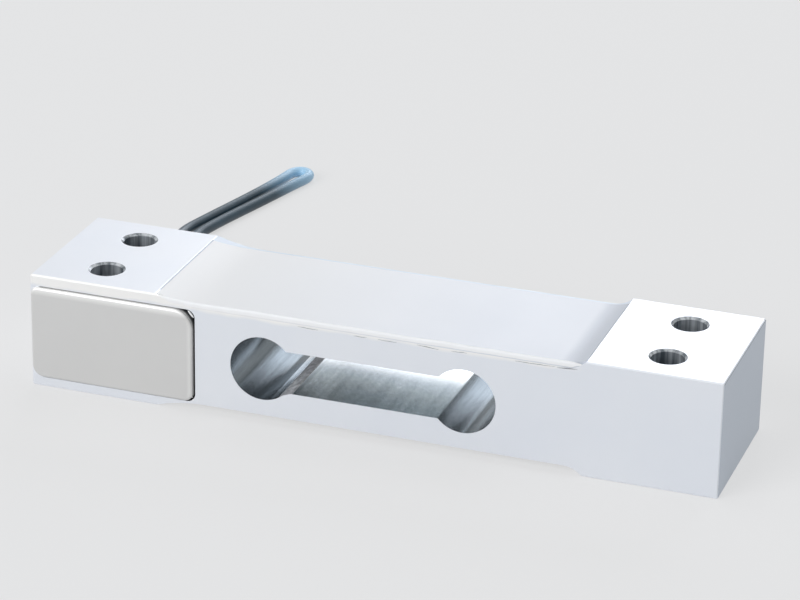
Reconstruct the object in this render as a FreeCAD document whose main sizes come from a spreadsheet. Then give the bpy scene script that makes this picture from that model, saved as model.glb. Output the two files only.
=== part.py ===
import FreeCAD, Part
import math
import os
import Sketcher
from FreeCAD import Placement, Rotation, Vector

# Single point load cell: one machined aluminium beam on two end pads, thinned in the middle by a
# binocular opening.  A lidded pocket in the front face holds the bridge board, the strain gauges
# lie under sealing strips above and below the opening, and one thin cable leaves the back.
# The origin is at the bottom centre of the beam: X runs along it, Y away from the lid, Z up.

os.makedirs("parts", exist_ok=True)
doc = FreeCAD.newDocument("load_cell")
sheet = doc.addObject("Spreadsheet::Sheet", "size")

# Driving dimensions, in millimetres.
dimensions = {
    # beam
    "beam_length": 130.0,
    "beam_width": 30.0,
    "beam_height": 22.0,
    "edge_break": 0.25,
    "pad_length": 24.5,
    "recess_depth": 1.6,
    "runout_left": 30.0,
    "runout_right": 5.0,
    # binocular opening: two bores and the slot that joins them
    "bore_diameter": 12.2,
    "left_bore_inset": 20.85,
    "right_bore_inset": 22.25,
    "slot_gap": 8.1,
    "cusp_flat": 0.9,
    "opening_height": 10.7,
    # M6 holes, tapped right through each end, at their thread's outer diameter
    "bolt_diameter": 6.0,
    "bolt_sink": 6.9,
    "bolt_inset": 12.0,
    "bolt_spacing": 15.0,
    # pocket in the front face: a seat for the lid, and a cavity inside the seat's ledge
    "pocket_wall": 0.8,
    "pocket_length": 31.6,
    "pocket_bottom": 1.85,
    "pocket_height": 18.1,
    "pocket_corner": 1.6,
    "seat_depth": 1.4,
    "ledge_width": 1.3,
    "cavity_depth": 3.9,
    # lid and its sealant
    "cover_gap_left": 0.12,
    "cover_gap_right": 0.45,
    "cover_gap_top": 0.2,
    "cover_gap_bottom": 0.12,
    "cover_corner_top_left": 1.4,
    "cover_corner_top_right": 3.7,
    "cover_corner_bottom_left": 2.2,
    "cover_corner_bottom_right": 1.6,
    "cover_edge_round": 0.55,
    "seal_thickness": 0.2,
    # sealing strips over the gauges
    "strip_thickness": 0.9,
    "strip_blunt_end": 0.1,
    "strip_sink": 0.03,
    "strip_left_curve": 60.0,
    "strip_right_curve": 14.8,
    "strip_back_inset": 2.2,
    "strip_under_inset": 2.2,
    "strip_edge_round": 0.45,
    "strip_cavity": 0.68,
    "strip_cavity_margin": 0.6,
    # strain gauges, with five foil bars each, solder tabs and foil links
    "gauge_length": 9.0,
    "gauge_width": 6.0,
    "gauge_backing": 0.1,
    "grid_bar_length": 4.6,
    "grid_bar_width": 0.35,
    "grid_bar_pitch": 0.8,
    "grid_bar_raise": 0.05,
    "tab_length": 4.0,
    "tab_width": 3.0,
    "tab_thickness": 0.3,
    "tab_gap": 2.6,
    "link_width": 1.0,
    "link_thickness": 0.15,
    "link_offset": 1.0,
    # wire holes from the recesses down and up into the pocket, and the wires in them
    "wire_hole_diameter": 1.2,
    "wire_hole_inset": 1.0,
    "wire_hole_depth": 3.0,
    "feed_diameter": 0.35,
    "feed_rise": 0.2,
    # bridge board
    "board_inset": 9.0,
    "board_length": 18.0,
    "board_height": 12.0,
    "board_thickness": 0.8,
    "tape_thickness": 0.4,
    "tape_margin": 1.5,
    "land_length": 1.6,
    "land_height": 1.1,
    "land_pitch": 2.2,
    "land_raise": 0.08,
    "land_edge": 0.5,
    "chip_length": 3.2,
    "chip_height": 1.6,
    "chip_thickness": 0.6,
    "spool_diameter": 1.2,
    "spool_length": 4.4,
    # cable inside the beam, its cores and its grommet
    "cable_diameter": 2.2,
    "cable_bore": 2.8,
    "cable_inset": 6.0,
    "cable_height": 11.0,
    "jacket_reach": 0.5,
    "core_diameter": 0.6,
    "core_offset": 0.45,
    "grommet_fit": 0.05,
    "grommet_plug": 5.2,
    "grommet_plug_depth": 3.5,
    "grommet_flange": 6.4,
    "grommet_flange_thickness": 0.8,
    "grommet_root": 4.4,
    "grommet_tip": 3.2,
    "grommet_length": 4.5,
    # put-away coil and its tie
    "coil_x": -26.0,
    "coil_y": 32.5,
    "coil_radius": 12.15,
    "coil_width": 4.7,
    "coil_height": 4.3,
    "coil_crown": 2.5,
    "coil_shoulder": 2.0,
    "tie_thickness": 0.3,
    "tie_clearance": 0.1,
    "tie_width": 2.4,
    "tie_head_width": 3.4,
    "tie_head_height": 2.6,
    "tie_head_thickness": 1.4,
    # stripped end
    "sleeve_diameter": 3.0,
    "sleeve_lap": 4.0,
    "sleeve_beyond": 5.0,
    "lead_diameter": 0.9,
    "lead_offset": 0.47,
    "lead_run": 6.5,
    "drain_diameter": 0.5,
}
for row, (alias, number) in enumerate(dimensions.items(), start=1):
    sheet.set("A%d" % row, alias)
    sheet.set("B%d" % row, str(number))
    sheet.setAlias("B%d" % row, alias)
doc.recompute()
reader = doc.addObject("App::FeaturePython", "reader")

# Places that several pieces share, as expressions on the sheet.
half_length = "size.beam_length / 2"
half_width = "size.beam_width / 2"
pad_edge = "(size.beam_length / 2 - size.pad_length)"
left_run = "sqrt(2 * size.runout_left * size.recess_depth - size.recess_depth ^ 2)"
right_run = "sqrt(2 * size.runout_right * size.recess_depth - size.recess_depth ^ 2)"
floor_start = f"(-{pad_edge} + {left_run})"
floor_end = f"({pad_edge} - {right_run})"
floor_top = "(size.beam_height - size.recess_depth)"
pocket_left = "(-size.beam_length / 2 + size.pocket_wall)"
pocket_right = f"({pocket_left} + size.pocket_length)"
pocket_top = "(size.pocket_bottom + size.pocket_height)"
cover_thickness = "(size.seat_depth - size.seal_thickness)"
cover_outline = (
    f"{pocket_left} + size.cover_gap_left",
    f"{pocket_right} - size.cover_gap_right",
    "size.pocket_bottom + size.cover_gap_bottom",
    f"{pocket_top} - size.cover_gap_top",
)
cover_corners = (
    "size.cover_corner_bottom_left",
    "size.cover_corner_bottom_right",
    "size.cover_corner_top_right",
    "size.cover_corner_top_left",
)
cavity_outline = (
    f"{pocket_left} + size.ledge_width",
    f"{pocket_right} - size.ledge_width",
    "size.pocket_bottom + size.ledge_width",
    f"{pocket_top} - size.ledge_width",
)
pocket_corners = ("size.pocket_corner",) * 4
gauge_left = f"(-{pad_edge} + size.left_bore_inset)"
gauge_right = f"({pad_edge} - size.right_bore_inset)"
tab_right = f"({gauge_left} - size.gauge_length / 2 - size.tab_gap)"
tab_left = f"({tab_right} - size.tab_length)"
link_outer = "(size.gauge_width / 2 + size.link_offset + size.link_width)"
wire_x = f"({pocket_right} - size.ledge_width - size.wire_hole_inset)"
wire_y = "(-size.beam_width / 2 + size.wire_hole_depth)"
cavity_floor = "(-size.beam_width / 2 + size.cavity_depth)"
board_face = f"({cavity_floor} - size.tape_thickness - size.board_thickness)"
board_left = "(-size.beam_length / 2 + size.board_inset)"
board_middle = "(size.pocket_bottom + size.pocket_height / 2)"
cable_x = "(-size.beam_length / 2 + size.cable_inset)"


# ---------------------------------------------------------------- helpers
def value(expression):
    """Number that an expression on the sheet stands for."""
    return float(reader.evalExpression(expression))


def new_body(label):
    body = doc.addObject("PartDesign::Body", label)
    body.Label = label
    return body


def origin_plane(body, role):
    return [feature for feature in body.Origin.OriginFeatures if feature.Role == role][0]


def new_sketch(body, name, role, offset="0"):
    """Sketch on one of the body's own planes, moved along the plane's normal by offset."""
    sketch = body.newObject("Sketcher::SketchObject", name)
    sketch.AttachmentSupport = [(origin_plane(body, role), "")]
    sketch.MapMode = "FlatFace"
    sketch.AttachmentOffset = Placement(Vector(0, 0, value(offset)), Rotation())
    sketch.setExpression("AttachmentOffset.Base.z", offset)
    return sketch


def bind(sketch, name, expression, *arguments):
    """Add a dimension to a sketch and tie it to an expression."""
    constraint = Sketcher.Constraint(*arguments, value(expression))
    index = sketch.addConstraint(constraint)
    sketch.renameConstraint(index, name)
    sketch.setExpression("Constraints." + name, expression)


def bind_point(sketch, name, geometry, position, x, y):
    bind(sketch, name + "_x", x, "DistanceX", -1, 1, geometry, position)
    bind(sketch, name + "_y", y, "DistanceY", -1, 1, geometry, position)


def circle(sketch, name, x, y, diameter):
    centre = Vector(value(x), value(y), 0)
    shape = Part.Circle(centre, Vector(0, 0, 1), value(diameter) / 2)
    index = sketch.addGeometry(shape)
    bind_point(sketch, name, index, 3, x, y)
    bind(sketch, name + "_size", diameter, "Diameter", index)


def polygon(sketch, name, corners):
    """Closed straight-sided outline through corners given as pairs of expressions."""
    points = [Vector(value(x), value(y), 0) for x, y in corners]
    first = sketch.GeometryCount
    for start, end in zip(points, points[1:] + points[:1]):
        sketch.addGeometry(Part.LineSegment(start, end))
    for index in range(len(points)):
        following = first + (index + 1) % len(points)
        sketch.addConstraint(Sketcher.Constraint("Coincident", first + index, 2, following, 1))
    for index, (x, y) in enumerate(corners):
        bind_point(sketch, "%s_%d" % (name, index), first + index, 1, x, y)


def rectangle(sketch, name, left, right, bottom, top):
    polygon(sketch, name, [(left, bottom), (right, bottom), (right, top), (left, top)])


def arc(centre, radius, start, end):
    """Arc that runs anticlockwise between two angles in degrees."""
    full = Part.Circle(centre, Vector(0, 0, 1), radius)
    return Part.ArcOfCircle(full, math.radians(start), math.radians(end))


def rounded_box(sketch, name, outline, corners):
    """Box with a radius of its own at each corner, anticlockwise from the bottom left."""
    left, right, bottom, top = [value(edge) for edge in outline]
    first_radius, second_radius, third_radius, fourth_radius = [value(c) for c in corners]
    base = sketch.GeometryCount
    sketch.addGeometry(Part.LineSegment(
        Vector(left + first_radius, bottom, 0), Vector(right - second_radius, bottom, 0)))
    sketch.addGeometry(arc(
        Vector(right - second_radius, bottom + second_radius, 0), second_radius, 270, 360))
    sketch.addGeometry(Part.LineSegment(
        Vector(right, bottom + second_radius, 0), Vector(right, top - third_radius, 0)))
    sketch.addGeometry(arc(
        Vector(right - third_radius, top - third_radius, 0), third_radius, 0, 90))
    sketch.addGeometry(Part.LineSegment(
        Vector(right - third_radius, top, 0), Vector(left + fourth_radius, top, 0)))
    sketch.addGeometry(arc(
        Vector(left + fourth_radius, top - fourth_radius, 0), fourth_radius, 90, 180))
    sketch.addGeometry(Part.LineSegment(
        Vector(left, top - fourth_radius, 0), Vector(left, bottom + first_radius, 0)))
    sketch.addGeometry(arc(
        Vector(left + first_radius, bottom + first_radius, 0), first_radius, 180, 270))
    for index in range(8):
        following = base + (index + 1) % 8
        sketch.addConstraint(Sketcher.Constraint("Tangent", base + index, 2, following, 1))
    for index, kind in enumerate(("Horizontal", "Vertical", "Horizontal", "Vertical")):
        sketch.addConstraint(Sketcher.Constraint(kind, base + 2 * index))
    bind(sketch, name + "_bottom", outline[2], "DistanceY", -1, 1, base, 1)
    bind(sketch, name + "_right", outline[1], "DistanceX", -1, 1, base + 2, 1)
    bind(sketch, name + "_top", outline[3], "DistanceY", -1, 1, base + 4, 1)
    bind(sketch, name + "_left", outline[0], "DistanceX", -1, 1, base + 6, 1)
    for index, radius in zip((7, 1, 3, 5), corners):
        bind(sketch, "%s_radius_%d" % (name, index), radius, "Radius", base + index)


def add_pad(body, name, sketch, length, both_sides=False, backwards=False):
    feature = body.newObject("PartDesign::Pad", name)
    feature.Profile = sketch
    feature.SideType = "Symmetric" if both_sides else "One side"
    feature.Reversed = backwards
    feature.Length = value(length)
    feature.setExpression("Length", length)
    doc.recompute()
    return feature


def add_pocket(body, name, sketch, depth=None, backwards=False):
    """Cut to a depth, or right through both ways where no depth is given."""
    before = body.Shape.Volume
    feature = body.newObject("PartDesign::Pocket", name)
    feature.Profile = sketch
    feature.Reversed = backwards
    if depth is None:
        feature.Type = "ThroughAll"
        feature.SideType = "Symmetric"
    else:
        feature.Length = value(depth)
        feature.setExpression("Length", depth)
    doc.recompute()
    if body.Shape.Volume >= before:
        raise RuntimeError(name + " removes nothing")
    return feature


def add_edge_feature(body, kind, name, base, edges, size_name, size):
    """Chamfer or fillet on edges named by their numbers."""
    feature = body.newObject("PartDesign::" + kind, name)
    feature.Base = (base, edges)
    setattr(feature, size_name, value(size))
    feature.setExpression(size_name, size)
    doc.recompute()
    return feature


def edges_where(shape, test):
    return ["Edge%d" % (index + 1) for index, edge in enumerate(shape.Edges) if test(edge)]


def mirror_feature(body, name, original, plane):
    feature = body.newObject("PartDesign::Mirrored", name)
    feature.Originals = [original]
    feature.MirrorPlane = (plane, [""])
    body.Tip = feature
    doc.recompute()
    return feature


def place(item, x, y, z, turn=None):
    """Tie a piece's place to expressions, with an optional turn."""
    if turn is not None:
        item.Placement = Placement(Vector(0, 0, 0), turn)
    item.setExpression("Placement.Base.x", x)
    item.setExpression("Placement.Base.y", y)
    item.setExpression("Placement.Base.z", z)
    doc.recompute()


def add_box(label, corner, length, width, height):
    box = doc.addObject("Part::Box", label)
    box.Label = label
    for name, expression in (("Length", length), ("Width", width), ("Height", height)):
        setattr(box, name, value(expression))
        box.setExpression(name, expression)
    place(box, *corner)
    return box


def add_cylinder(label, start, diameter, length, turn):
    cylinder = doc.addObject("Part::Cylinder", label)
    cylinder.Label = label
    cylinder.setExpression("Radius", f"{diameter} / 2")
    cylinder.setExpression("Height", length)
    place(cylinder, *start, turn)
    return cylinder


def rounded_path(points, widest=None):
    """Straight runs joined by tangent arcs, each 0.45 of its shorter run along from its corner."""
    edges = []
    radii = []
    start = points[0]
    for before, corner, after in zip(points, points[1:], points[2:]):
        inward = (before - corner).normalize()
        outward = (after - corner).normalize()
        half_turn = (math.pi - inward.getAngle(outward)) / 2
        shorter = min((corner - before).Length, (after - corner).Length)
        radius = 0.45 * shorter / math.tan(half_turn)
        if widest is not None:
            radius = min(radius, widest)
        reach = radius * math.tan(half_turn)
        enter = corner + inward * reach
        leave = corner + outward * reach
        towards = (inward + outward).normalize()
        middle = corner + towards * (radius / math.cos(half_turn) - radius)
        edges.append(Part.LineSegment(start, enter).toShape())
        edges.append(Part.Arc(enter, middle, leave).toShape())
        radii.append(radius)
        start = leave
    edges.append(Part.LineSegment(start, points[-1]).toShape())
    return Part.Wire(edges), radii


def tube(points, diameter, widest=None):
    """Round solid of one diameter along a path, with its volume compared with its section."""
    path, radii = rounded_path(points, widest)
    direction = points[1] - points[0]
    section = Part.Wire(Part.Circle(points[0], direction, diameter / 2).toShape())
    solid = path.makePipeShell([section], True, True)
    expected = math.pi * diameter ** 2 / 4 * path.Length
    if abs(solid.Volume - expected) > 0.01 * expected:
        raise RuntimeError("a tube's volume is not its section times its length")
    return solid, path.Length, radii


def add_shape(label, shape):
    item = doc.addObject("Part::Feature", label)
    item.Label = label
    item.Shape = shape
    return item


# ---------------------------------------------------------------- the beam
def recess_sketch(body):
    """Top recess between the pads: a flat floor that runs out to each pad along an arc."""
    sketch = new_sketch(body, "recess_sketch", "XZ_Plane")
    top = value("size.beam_height")
    floor = value(floor_top)
    left = -value(pad_edge)
    right = value(pad_edge)
    start = value(floor_start)
    end = value(floor_end)
    left_radius = value("size.runout_left")
    right_radius = value("size.runout_right")
    left_angle = math.degrees(math.asin((start - left) / left_radius))
    right_angle = math.degrees(math.asin((right - end) / right_radius))
    sketch.addGeometry(arc(Vector(start, floor + left_radius, 0), left_radius, 270 - left_angle, 270))
    sketch.addGeometry(Part.LineSegment(Vector(start, floor, 0), Vector(end, floor, 0)))
    sketch.addGeometry(arc(Vector(end, floor + right_radius, 0), right_radius, 270, 270 + right_angle))
    sketch.addGeometry(Part.LineSegment(Vector(right, top, 0), Vector(left, top, 0)))
    sketch.addConstraint(Sketcher.Constraint("Tangent", 0, 2, 1, 1))
    sketch.addConstraint(Sketcher.Constraint("Tangent", 1, 2, 2, 1))
    sketch.addConstraint(Sketcher.Constraint("Coincident", 2, 2, 3, 1))
    sketch.addConstraint(Sketcher.Constraint("Coincident", 3, 2, 0, 1))
    sketch.addConstraint(Sketcher.Constraint("Horizontal", 1))
    bind(sketch, "left_runout", "size.runout_left", "Radius", 0)
    bind(sketch, "right_runout", "size.runout_right", "Radius", 2)
    bind(sketch, "floor", floor_top, "DistanceY", -1, 1, 1, 1)
    bind_point(sketch, "right_pad", 3, 1, pad_edge, "size.beam_height")
    bind_point(sketch, "left_pad", 3, 2, "-" + pad_edge, "size.beam_height")
    return sketch


def binocular_sketch(body):
    """Two bores joined by a straight slot, as one outline."""
    sketch = new_sketch(body, "binocular_sketch", "XZ_Plane")
    radius = value("size.bore_diameter / 2")
    half_gap = value("size.slot_gap / 2")
    height = value("size.opening_height")
    angle = math.degrees(math.asin(half_gap / radius))
    reach = math.sqrt(radius ** 2 - half_gap ** 2)
    left = value(gauge_left)
    right = value(gauge_right)
    sketch.addGeometry(arc(Vector(left, height, 0), radius, angle, 360 - angle))
    sketch.addGeometry(Part.LineSegment(
        Vector(left + reach, height - half_gap, 0), Vector(right - reach, height - half_gap, 0)))
    sketch.addGeometry(arc(Vector(right, height, 0), radius, 180 + angle, 540 - angle))
    sketch.addGeometry(Part.LineSegment(
        Vector(right - reach, height + half_gap, 0), Vector(left + reach, height + half_gap, 0)))
    for index in range(4):
        sketch.addConstraint(Sketcher.Constraint("Coincident", index, 2, (index + 1) % 4, 1))
    sketch.addConstraint(Sketcher.Constraint("Horizontal", 1))
    sketch.addConstraint(Sketcher.Constraint("Horizontal", 3))
    bind_point(sketch, "left_bore", 0, 3, gauge_left, "size.opening_height")
    bind_point(sketch, "right_bore", 2, 3, gauge_right, "size.opening_height")
    bind(sketch, "left_size", "size.bore_diameter / 2", "Radius", 0)
    bind(sketch, "right_size", "size.bore_diameter / 2", "Radius", 2)
    lower = "size.opening_height - size.slot_gap / 2"
    upper = "size.opening_height + size.slot_gap / 2"
    bind(sketch, "slot_bottom", lower, "DistanceY", -1, 1, 1, 1)
    bind(sketch, "slot_top", upper, "DistanceY", -1, 1, 3, 1)
    return sketch


def make_beam():
    body = new_body("beam")
    block = new_sketch(body, "block_sketch", "XZ_Plane")
    rectangle(block, "block", "-" + half_length, half_length, "0", "size.beam_height")
    bar = add_pad(body, "bar", block, "size.beam_width", both_sides=True)
    every_edge = edges_where(bar.Shape, lambda edge: True)
    add_edge_feature(body, "Chamfer", "edge_break", bar, every_edge, "Size", "size.edge_break")

    recess = add_pocket(body, "top_recess", recess_sketch(body))
    middle = body.newObject("PartDesign::Plane", "middle_plane")
    middle.AttachmentSupport = [(origin_plane(body, "XY_Plane"), "")]
    middle.MapMode = "FlatFace"
    middle.setExpression("AttachmentOffset.Base.z", "size.beam_height / 2")
    doc.recompute()
    mirror_feature(body, "under_recess", recess, middle)
    opening = add_pocket(body, "binocular", binocular_sketch(body))
    slot_floor = value("size.opening_height - size.slot_gap / 2")
    left_bore = value(gauge_left)
    cusp = edges_where(opening.Shape, lambda edge: (
        edge.BoundBox.ZLength < 1e-6
        and edge.BoundBox.XLength < 1e-6
        and abs(edge.BoundBox.ZMin - slot_floor) < 1e-6
        and left_bore < edge.BoundBox.XMin < left_bore + value("size.bore_diameter / 2")))
    add_edge_feature(body, "Chamfer", "filed_cusp", opening, cusp, "Size", "size.cusp_flat")

    holes = new_sketch(body, "hole_sketch", "XY_Plane")
    hole_x = "-size.beam_length / 2 + size.bolt_inset"
    circle(holes, "front", hole_x, "-size.bolt_spacing / 2", "size.bolt_diameter")
    circle(holes, "back", hole_x, "size.bolt_spacing / 2", "size.bolt_diameter")
    left_holes = add_pocket(body, "left_holes", holes)
    right_holes = mirror_feature(body, "right_holes", left_holes, origin_plane(body, "YZ_Plane"))
    hole_radius = value("size.bolt_diameter / 2")
    ends = (0.0, value("size.beam_height"))
    mouths = edges_where(right_holes.Shape, lambda edge: (
        isinstance(edge.Curve, Part.Circle)
        and abs(edge.Curve.Radius - hole_radius) < 1e-6
        and abs(edge.Curve.Axis.z) > 0.9
        and min(abs(edge.Curve.Center.z - end) for end in ends) < 1e-6))
    sink = "(size.bolt_sink - size.bolt_diameter) / 2"
    add_edge_feature(body, "Chamfer", "countersinks", right_holes, mouths, "Size", sink)

    seat = new_sketch(body, "seat_sketch", "XZ_Plane", half_width)
    outline = (pocket_left, pocket_right, "size.pocket_bottom", pocket_top)
    rounded_box(seat, "seat", outline, pocket_corners)
    add_pocket(body, "lid_seat", seat, "size.seat_depth")
    cavity = new_sketch(body, "cavity_sketch", "XZ_Plane", half_width)
    rounded_box(cavity, "cavity", cavity_outline, pocket_corners)
    add_pocket(body, "board_cavity", cavity, "size.cavity_depth")

    channel = new_sketch(body, "channel_sketch", "XZ_Plane", "-" + half_width)
    circle(channel, "channel", cable_x, "size.cable_height", "size.cable_bore")
    through = "size.beam_width - size.cavity_depth"
    add_pocket(body, "cable_channel", channel, through, backwards=True)
    socket = new_sketch(body, "socket_sketch", "XZ_Plane", "-" + half_width)
    circle(socket, "socket", cable_x, "size.cable_height", "size.grommet_plug")
    add_pocket(body, "grommet_socket", socket, "size.grommet_plug_depth", backwards=True)
    wires = new_sketch(body, "wire_sketch", "XY_Plane")
    circle(wires, "wires", wire_x, wire_y, "size.wire_hole_diameter")
    add_pocket(body, "wire_holes", wires)
    return body



# ---------------------------------------------------------------- lid
def make_cover():
    """Flat lid with a rolled front edge, flush with the beam's front face."""
    body = new_body("pocket_cover")
    sketch = new_sketch(body, "outline", "XZ_Plane", half_width)
    rounded_box(sketch, "lid", cover_outline, cover_corners)
    plate = add_pad(body, "plate", sketch, cover_thickness, backwards=True)
    face = -value(half_width)
    rim = edges_where(plate.Shape, lambda edge: abs(edge.BoundBox.YMax - face) < 1e-6)
    add_edge_feature(body, "Fillet", "rolled_edge", plate, rim, "Radius", "size.cover_edge_round")
    return body


def make_seal():
    """Bead of sealant that the lid is bedded on, all round the ledge."""
    body = new_body("cover_seal")
    sketch = new_sketch(body, "outline", "XZ_Plane", f"{half_width} - {cover_thickness}")
    rounded_box(sketch, "outer", cover_outline, cover_corners)
    rounded_box(sketch, "inner", cavity_outline, pocket_corners)
    add_pad(body, "bead", sketch, "size.seal_thickness", backwards=True)
    return body


# ---------------------------------------------------------------- bridge board
def make_board():
    """Board with a raised land for each core at its left end and each gauge feed at its right."""
    body = new_body("bridge_board")
    board_right = f"{board_left} + size.board_length"
    low = f"{board_middle} - size.board_height / 2"
    high = f"{board_middle} + size.board_height / 2"
    blank = new_sketch(body, "blank_sketch", "XZ_Plane", "-" + board_face)
    rectangle(blank, "blank", board_left, board_right, low, high)
    add_pad(body, "blank", blank, "size.board_thickness", backwards=True)
    lands = new_sketch(body, "land_sketch", "XZ_Plane", "-" + board_face)
    left = f"{board_left} + size.land_edge"
    right = f"{board_right} - size.land_edge"
    for index, step in enumerate((-1.5, -0.5, 0.5, 1.5)):
        middle = f"({board_middle} + ({step}) * size.land_pitch)"
        bottom = f"{middle} - size.land_height / 2"
        top = f"{middle} + size.land_height / 2"
        rectangle(lands, "core_%d" % index, left, f"{left} + size.land_length", bottom, top)
        rectangle(lands, "feed_%d" % index, f"{right} - size.land_length", right, bottom, top)
    add_pad(body, "lands", lands, "size.land_raise")
    return body


def make_board_pieces():
    """Tape under the board, and the trimming resistors on it."""
    tape_height = "size.board_height - 2 * size.tape_margin"
    tape = add_box(
        "board_tape",
        (f"{board_left} + size.tape_margin", f"{cavity_floor} - size.tape_thickness",
         f"{board_middle} - size.board_height / 2 + size.tape_margin"),
        "size.board_length - 2 * size.tape_margin", "size.tape_thickness", tape_height)
    chip_left = f"{board_left} + size.board_length / 2 - size.chip_length / 2"
    chips = []
    for label, row in (("zero_resistor", 1.5), ("span_resistor", -1.5)):
        bottom = f"{board_middle} + ({row}) * size.land_pitch - size.chip_height / 2"
        chips.append(add_box(
            label, (chip_left, f"{board_face} - size.chip_thickness", bottom),
            "size.chip_length", "size.chip_thickness", "size.chip_height"))
    spool = add_cylinder(
        "temperature_resistor",
        (f"{board_left} + size.board_length / 2 - size.spool_length / 2",
         f"{board_face} - size.spool_diameter / 2", board_middle),
        "size.spool_diameter", "size.spool_length", Rotation(Vector(0, 1, 0), 90))
    return [tape] + chips + [spool]


# ---------------------------------------------------------------- gauges and their strips
over = Rotation()
under = Rotation(Vector(1, 0, 0), 180)
sides = (("top", over, floor_top), ("under", under, "size.recess_depth"))


def make_gauge(label, x, turn, z):
    """Strain gauge: a film backing with the foil grid raised on it."""
    body = new_body(label)
    backing = new_sketch(body, "backing_sketch", "XY_Plane")
    rectangle(backing, "backing", "-size.gauge_length / 2", "size.gauge_length / 2",
              "-size.gauge_width / 2", "size.gauge_width / 2")
    add_pad(body, "backing", backing, "size.gauge_backing")
    foil = new_sketch(body, "foil_sketch", "XY_Plane", "size.gauge_backing")
    low = "(-2 * size.grid_bar_pitch)"
    rectangle(foil, "bar", "-size.grid_bar_length / 2", "size.grid_bar_length / 2",
              f"{low} - size.grid_bar_width / 2", f"{low} + size.grid_bar_width / 2")
    bar = add_pad(body, "bar", foil, "size.grid_bar_raise")
    grid = body.newObject("PartDesign::LinearPattern", "grid")
    grid.Originals = [bar]
    grid.Direction = (foil, ["V_Axis"])
    grid.Occurrences = 5
    grid.setExpression("Length", "4 * size.grid_bar_pitch")
    body.Tip = grid
    doc.recompute()
    place(body, x, "0", z, turn)
    return body


def make_tab(label, turn, z):
    """Solder tab where the foil links of one recess meet the feed wire."""
    body = new_body(label)
    sketch = new_sketch(body, "outline", "XY_Plane")
    rectangle(sketch, "tab", tab_left, tab_right, "-size.tab_width / 2", "size.tab_width / 2")
    add_pad(body, "tab", sketch, "size.tab_thickness")
    place(body, "0", "0", z, turn)
    return body


def make_near_link(label, turn, z):
    """Straight foil from the tab to the gauge beside it."""
    body = new_body(label)
    sketch = new_sketch(body, "outline", "XY_Plane")
    rectangle(sketch, "link", tab_right, f"{gauge_left} - size.gauge_length / 2",
              "-size.link_width / 2", "size.link_width / 2")
    add_pad(body, "foil", sketch, "size.link_thickness")
    place(body, "0", "0", z, turn)
    return body


def make_far_link(label, turn, z):
    """Foil that leaves the tab's side and passes the near gauge on its way to the far one."""
    body = new_body(label)
    sketch = new_sketch(body, "outline", "XY_Plane")
    tab_side = "size.tab_width / 2"
    gauge_side = "size.gauge_width / 2"
    inner = "size.gauge_width / 2 + size.link_offset"
    start = f"{tab_left} + size.link_width"
    near = f"{gauge_right} - size.link_width / 2"
    far = f"{gauge_right} + size.link_width / 2"
    polygon(sketch, "link", [
        (start, tab_side), (f"{start} + size.link_width", tab_side),
        (f"{start} + size.link_width", inner), (near, inner), (near, gauge_side),
        (far, gauge_side), (far, link_outer), (start, link_outer)])
    add_pad(body, "foil", sketch, "size.link_thickness")
    place(body, "0", "0", z, turn)
    return body


def strip_sketch(body, high_inset):
    """Side view of a sealing strip: it covers the recess floor and curves up to both pads."""
    sketch = new_sketch(body, "profile", "XZ_Plane", f"{high_inset} - {half_width}")
    top = "(size.recess_depth - size.strip_sink)"
    tip = f"({top} - size.strip_blunt_end)"
    climb = f"({top} - size.strip_thickness)"

    def run(radius, rise):
        return f"sqrt(2 * {radius} * {rise} - {rise} ^ 2)"

    left_tip = f"({floor_start} - {run('size.runout_left', tip)})"
    right_tip = f"({floor_end} + {run('size.runout_right', tip)})"
    flat_start = f"({left_tip} + {run('size.strip_left_curve', climb)})"
    flat_end = f"({right_tip} - {run('size.strip_right_curve', climb)})"
    level = "size.strip_thickness"
    corners = [
        (left_tip, tip), (floor_start, "0"), (floor_end, "0"), (right_tip, tip),
        (right_tip, top), (flat_end, level), (flat_start, level), (left_tip, top)]
    places = [Vector(value(x), value(z), 0) for x, z in corners]
    curves = {
        0: ("size.runout_left", places[1].x, 0.0, 1),
        2: ("size.runout_right", places[2].x, 0.0, -1),
        4: ("size.strip_right_curve", places[5].x, places[5].y, -1),
        6: ("size.strip_left_curve", places[6].x, places[6].y, 1),
    }
    for index, start in enumerate(places):
        end = places[(index + 1) % 8]
        if index not in curves:
            sketch.addGeometry(Part.LineSegment(start, end))
            continue
        name, middle, base, hand = curves[index]
        radius = value(name)
        reach = max(abs(start.x - middle), abs(end.x - middle))
        angle = math.degrees(math.asin(reach / radius))
        first, last = (270 - angle, 270) if hand > 0 else (270, 270 + angle)
        sketch.addGeometry(arc(Vector(middle, base + radius, 0), radius, first, last))
        bind(sketch, "curve_%d" % index, name, "Radius", index)
    ends = {0: (1, 2), 2: (1, 2), 4: (2, 1), 6: (2, 1)}
    for index in range(8):
        following = (index + 1) % 8
        leaving = ends.get(index, (1, 2))[1]
        entering = ends.get(following, (1, 2))[0]
        sketch.addConstraint(Sketcher.Constraint("Coincident", index, leaving, following, entering))
    for index in (1, 3, 5, 7):
        bind_point(sketch, "start_%d" % index, index, 1, *corners[index])
        bind_point(sketch, "end_%d" % index, index, 2, *corners[(index + 1) % 8])
    return sketch


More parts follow.
